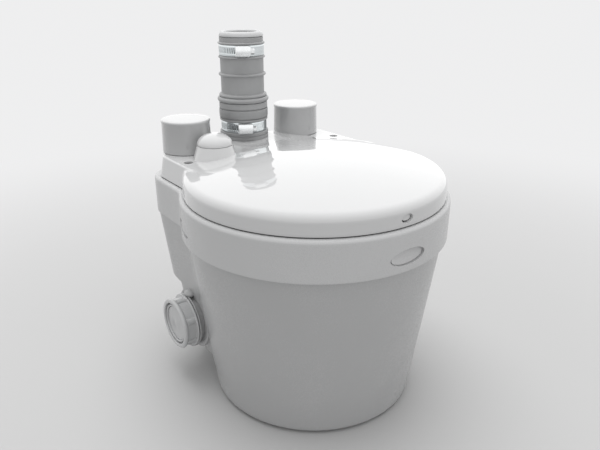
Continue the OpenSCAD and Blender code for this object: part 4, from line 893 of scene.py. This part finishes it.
class PUMP_OT_clips(bpy.types.Operator):
    """Make the two worm-drive clips and their screws"""

    bl_idname = "pump.clips"
    bl_label = "Hose clips"

    def execute(self, context):
        lid, hose = context.scene.pump_lid, context.scene.pump_hose
        slots = np.radians(np.linspace(100.0, 218.0, 120))
        for word, z, r in (("upper", hose.upper_clip_z, hose.hose_r),
                           ("lower", hose.lower_clip_z, hose.low_r - hose.seat)):
            at = (0, lid.service_y, lid.saddle_z + z)
            # black rubber strips under the slots: a painted shadow where the grey hose shows through
            painted_slot_shadow = np.stack([ring(slots, r + 0.2, h) for h in (2.6, hose.band_w - 2.6)])
            for name, points, sharp, body, slot, nodes, look in (
                    ("clip_", clip_band(hose, r + 0.05), 45.0, "lid", "clip_steel", [word + "_clip"], None),
                    # the housing takes the screws' lighter steel, not the band's: a painted highlight
                    ("housing_", clip_housing(hose, r), 35.0, "lid", "clip_steel", (), "screw_steel"),
                    ("slot_ground_", painted_slot_shadow, 32.0, "lid", "seal_rubber", (), None),
                    ("clip_screw_", clip_screw(hose, r), 25.0, word + "_screw", "screw_steel",
                     [word + "_clip_screw"], None)):
                piece = grid(name + word, turned(points, -hose.clip_turn, at), points is not painted_slot_shadow, sharp)
                place(piece, body + "_body", slot, nodes, look)
        return {"FINISHED"}


class PUMP_OT_side_inlets(bpy.types.Operator):
    """Make the ribbed nuts and the blanking discs of the side inlets"""

    bl_idname = "pump.side_inlets"
    bl_label = "Side inlets"

    def execute(self, context):
        inlet = context.scene.pump_inlet
        face, rear, outer = inlet.face, inlet.face - inlet.nut_l, inlet.nut_r
        body, disc_z, sixth = outer - 1.9, face - 4.9, math.pi / 3
        nut = loop(chain(
            (inlet.thread_r + 0.3, rear), about(outer, rear, (1.0, 0), (1.6, 0.5), (1.6, 1.2), (1.0, 1.8)),
            about(body, rear, (0.5, 2.0), (0, 2.4)),
            [(body, z) for z in np.linspace(rear + 2.8, face - 5.4, 13)], (body + 0.1, face - 5.0),
            arc(outer - 2.1, face - 2.4, 2.3, -62, 78, 11),
            (inlet.mouth_r + 1.9, face - 0.02), arc(inlet.mouth_r + 1.2, face - 1.2, 1.2, 90, 180, 5),
            about(0, face - 4.6, (inlet.mouth_r, 0), (inlet.thread_r + 0.3, 0))))
        disc = chain(about(0, disc_z, (0, -1.8), (inlet.thread_r, -1.8), (inlet.thread_r, 0)),
                     about(inlet.mouth_r, disc_z, (-1.8, 0), (-1.8, 2.4)),
                     arc(inlet.mouth_r - 2.8, disc_z + 2.6, 1.0, 0, 180, 10),
                     about(inlet.mouth_r, disc_z, (-3.9, 1.3), (-4.5, 1.3), (-4.9, 2.0)),
                     about(0, disc_z, (6.0, 2.0), (5.4, 2.2), (0, 2.2)))

        def ribs(r, h, t):
            """Six ribs round the nut's body: each is lifted by the root of one less the squared distance from
            its middle over its half width."""
            near = np.abs((t - inlet.rib_turn + sixth / 2) % sixth - sixth / 2) * outer
            lift = inlet.rib_lift * np.sqrt(np.clip(1.0 - (near / inlet.rib_half) ** 2, 0.0, 1.0))
            on_body = (r < outer - 1.3) & (r > outer - 2.0) & (h > rear + 1.6) & (h < face - 4.9)
            return np.where(on_body, r + lift, r)

        at = (0, inlet.inlet_y, inlet.inlet_z)
        for side, word in SIDES:
            piece = revolve("union_nut_" + word, nut, at, 480, side, ribs, 35.0)
            place(piece, "nut_%s_body" % word, "nut_plastic", ["inlet_nut_" + word])
            piece = revolve("blank_disc_" + word, disc, at, 144, side)
            place(piece, "blank_%s_body" % word, "nut_plastic", ["inlet_blank_" + word])
        return {"FINISHED"}


class PUMP_OT_inner_finishes(bpy.types.Operator):
    """Give every piece that comes from the frame its finish"""

    bl_idname = "pump.inner_finishes"
    bl_label = "Inner finishes"

    def execute(self, context):
        slots = {row["node"]: row["material_slot"] for row in frame["record"]["subparts"]}
        for name, obj in frame["nodes"].items():
            if not obj.material_slots:
                raise RuntimeError("no material slot on " + name)
            # the lid's screws get the near-black dull zinc: painted shade for the dark wells they sit in
            for held in obj.material_slots:
                held.material = finish("dull_zinc" if name == "lid_screws" else slots[name])
        return {"FINISHED"}


BACKDROP = (0.86, 0.86, 0.865, 1.0)
WHITE = (1.0, 1.0, 1.0, 1.0)


def either(add, first, second):
    """1 for a ray of the first or of the second kind."""
    return add("ShaderNodeMath", None, {0: first, 1: second}, operation="MAXIMUM").outputs["Value"]


def blend(add, factor, first, second):
    """A shader that goes from the first to the second as the factor goes from 0 to 1."""
    return add("ShaderNodeMixShader", None, {0: factor, 1: first, 2: second}).outputs["Shader"]


class PUMP_OT_stage(bpy.types.Operator):
    """Make the floor, the light and the camera"""

    bl_idname = "pump.stage"
    bl_label = "Stage"

    def execute(self, context):
        scene = context.scene
        scene.view_settings.view_transform = "Standard"
        world = scene.world or bpy.data.worlds.new("sky")
        scene.world = world
        world.use_nodes = True
        world.node_tree.nodes.clear()
        add = adder(world.node_tree)
        ray = add("ShaderNodeLightPath").outputs
        seen = either(add, ray["Is Camera Ray"], ray["Is Transmission Ray"])
        light, backdrop, mirror = (
            add("ShaderNodeBackground", {"Color": shade, "Strength": strength}).outputs["Background"]
            for shade, strength in ((WHITE, 0.77), (BACKDROP, 1.0), (WHITE, 1.3)))
        shown = blend(add, seen, blend(add, ray["Is Glossy Ray"], light, mirror), backdrop)
        add("ShaderNodeOutputWorld", None, {"Surface": shown})

        rings = np.concatenate([[0.0], np.geomspace(150.0, 9000.0, 26)])[:, None]
        t = circle(96)[None, :]
        floor = grid("floor", np.stack([rings * np.cos(t), rings * np.sin(t), 0 * rings * t], -1))
        if floor.data.polygons[0].normal.z < 0:
            floor.data.flip_normals()
        floor.data.materials.append(self.floor_finish(scene.pump_finish.floor))

        for name, at, to, width, power in (
                ("overhead", (0.1, 0.4, 1.9), (0.0, 0.05, 0.2), 1.6, 22.0),
                ("front_top", (-0.05, -0.45, 1.9), (0.0, -0.05, 0.2), 1.2, 4.5),
                ("front_fill", (0.2, -1.9, 1.2), (0.0, 0.0, 0.15), 1.2, 3.0)):
            data = bpy.data.lights.new(name, "AREA")
            data.shape, data.size, data.energy = "DISK", width, power
            made = put(name, data)
            made.location = at
            dx, dy, dz = (to[i] - at[i] for i in range(3))
            made.rotation_euler = (math.atan2(math.hypot(dx, dy), -dz), 0.0, math.atan2(dy, dx) - math.pi / 2)
            made.visible_glossy = False

        data = bpy.data.cameras.new("camera")
        data.lens, data.sensor_width = 35.0, 36.0
        camera = put("camera", data)
        camera.location = (-0.36754, -0.46524, 0.43153)
        camera.rotation_euler = (math.radians(67.71), 0.0, math.radians(-36.84))
        scene.camera = camera
        return {"FINISHED"}

    def floor_finish(self, base):
        """A pale floor that fades, with the distance from the object, into the backdrop's colour."""
        made, shader, add = new_material("pale floor")
        where = add("ShaderNodeTexCoord").outputs["Object"]
        cloud = add("ShaderNodeTexNoise", {"Scale": 3.0}, {"Vector": where}).outputs["Fac"]
        made.node_tree.links.new(drift(add, cloud, base, 0.015), shader.inputs["Base Color"])
        shader.inputs["Roughness"].default_value = 0.55
        shader.inputs["Specular IOR Level"].default_value = 0.3
        far = add("ShaderNodeVectorMath", None, {0: where}, operation="LENGTH").outputs["Value"]
        fade = add("ShaderNodeMapRange", {"From Min": 0.3, "From Max": 1.2}, {"Value": far},
                   interpolation_type="SMOOTHSTEP").outputs["Result"]
        ray = add("ShaderNodeLightPath").outputs
        seen = either(add, ray["Is Camera Ray"], ray["Is Glossy Ray"])
        share = add("ShaderNodeMath", None, {0: fade, 1: seen}, operation="MULTIPLY").outputs["Value"]
        haze = add("ShaderNodeEmission", {"Color": BACKDROP}).outputs["Emission"]
        shown = blend(add, share, shader.outputs["BSDF"], haze)
        made.node_tree.links.new(shown, made.node_tree.nodes["Material Output"].inputs["Surface"])
        return made


class PUMP_PT_panel(bpy.types.Panel):
    """The pump's operators in the sidebar"""

    bl_label = "Macerator pump"
    bl_idname = "PUMP_PT_panel"
    bl_space_type = "VIEW_3D"
    bl_region_type = "UI"
    bl_category = "Pump"

    def draw(self, context):
        for made in OPERATORS:
            self.layout.operator(made.bl_idname)


OPERATORS = (PUMP_OT_tank, PUMP_OT_lid, PUMP_OT_caps, PUMP_OT_hose, PUMP_OT_clips, PUMP_OT_side_inlets,
             PUMP_OT_inner_finishes, PUMP_OT_stage)
GROUPS = (("pump_tank", PumpTankSizes), ("pump_lid", PumpLidSizes), ("pump_hose", PumpHoseSizes),
          ("pump_inlet", PumpInletSizes), ("pump_finish", PumpFinish))


def register():
    """Registers the property groups, the operators and the panel."""
    for name, group in GROUPS:
        bpy.utils.register_class(group)
        setattr(bpy.types.Scene, name, PointerProperty(type=group))
    for made in OPERATORS:
        bpy.utils.register_class(made)
    bpy.utils.register_class(PUMP_PT_panel)


def unregister():
    """Removes what register added."""
    bpy.utils.unregister_class(PUMP_PT_panel)
    for made in reversed(OPERATORS):
        bpy.utils.unregister_class(made)
    for name, group in reversed(GROUPS):
        delattr(bpy.types.Scene, name)
        bpy.utils.unregister_class(group)


def main():
    """Builds everything."""
    register()
    bpy.ops.pump.tank()
    bpy.ops.pump.lid()
    bpy.ops.pump.caps()
    bpy.ops.pump.hose()
    bpy.ops.pump.clips()
    bpy.ops.pump.side_inlets()
    bpy.ops.pump.inner_finishes()
    bpy.ops.pump.stage()
    bpy.context.view_layer.update()


if __name__ == "__main__":
    main()
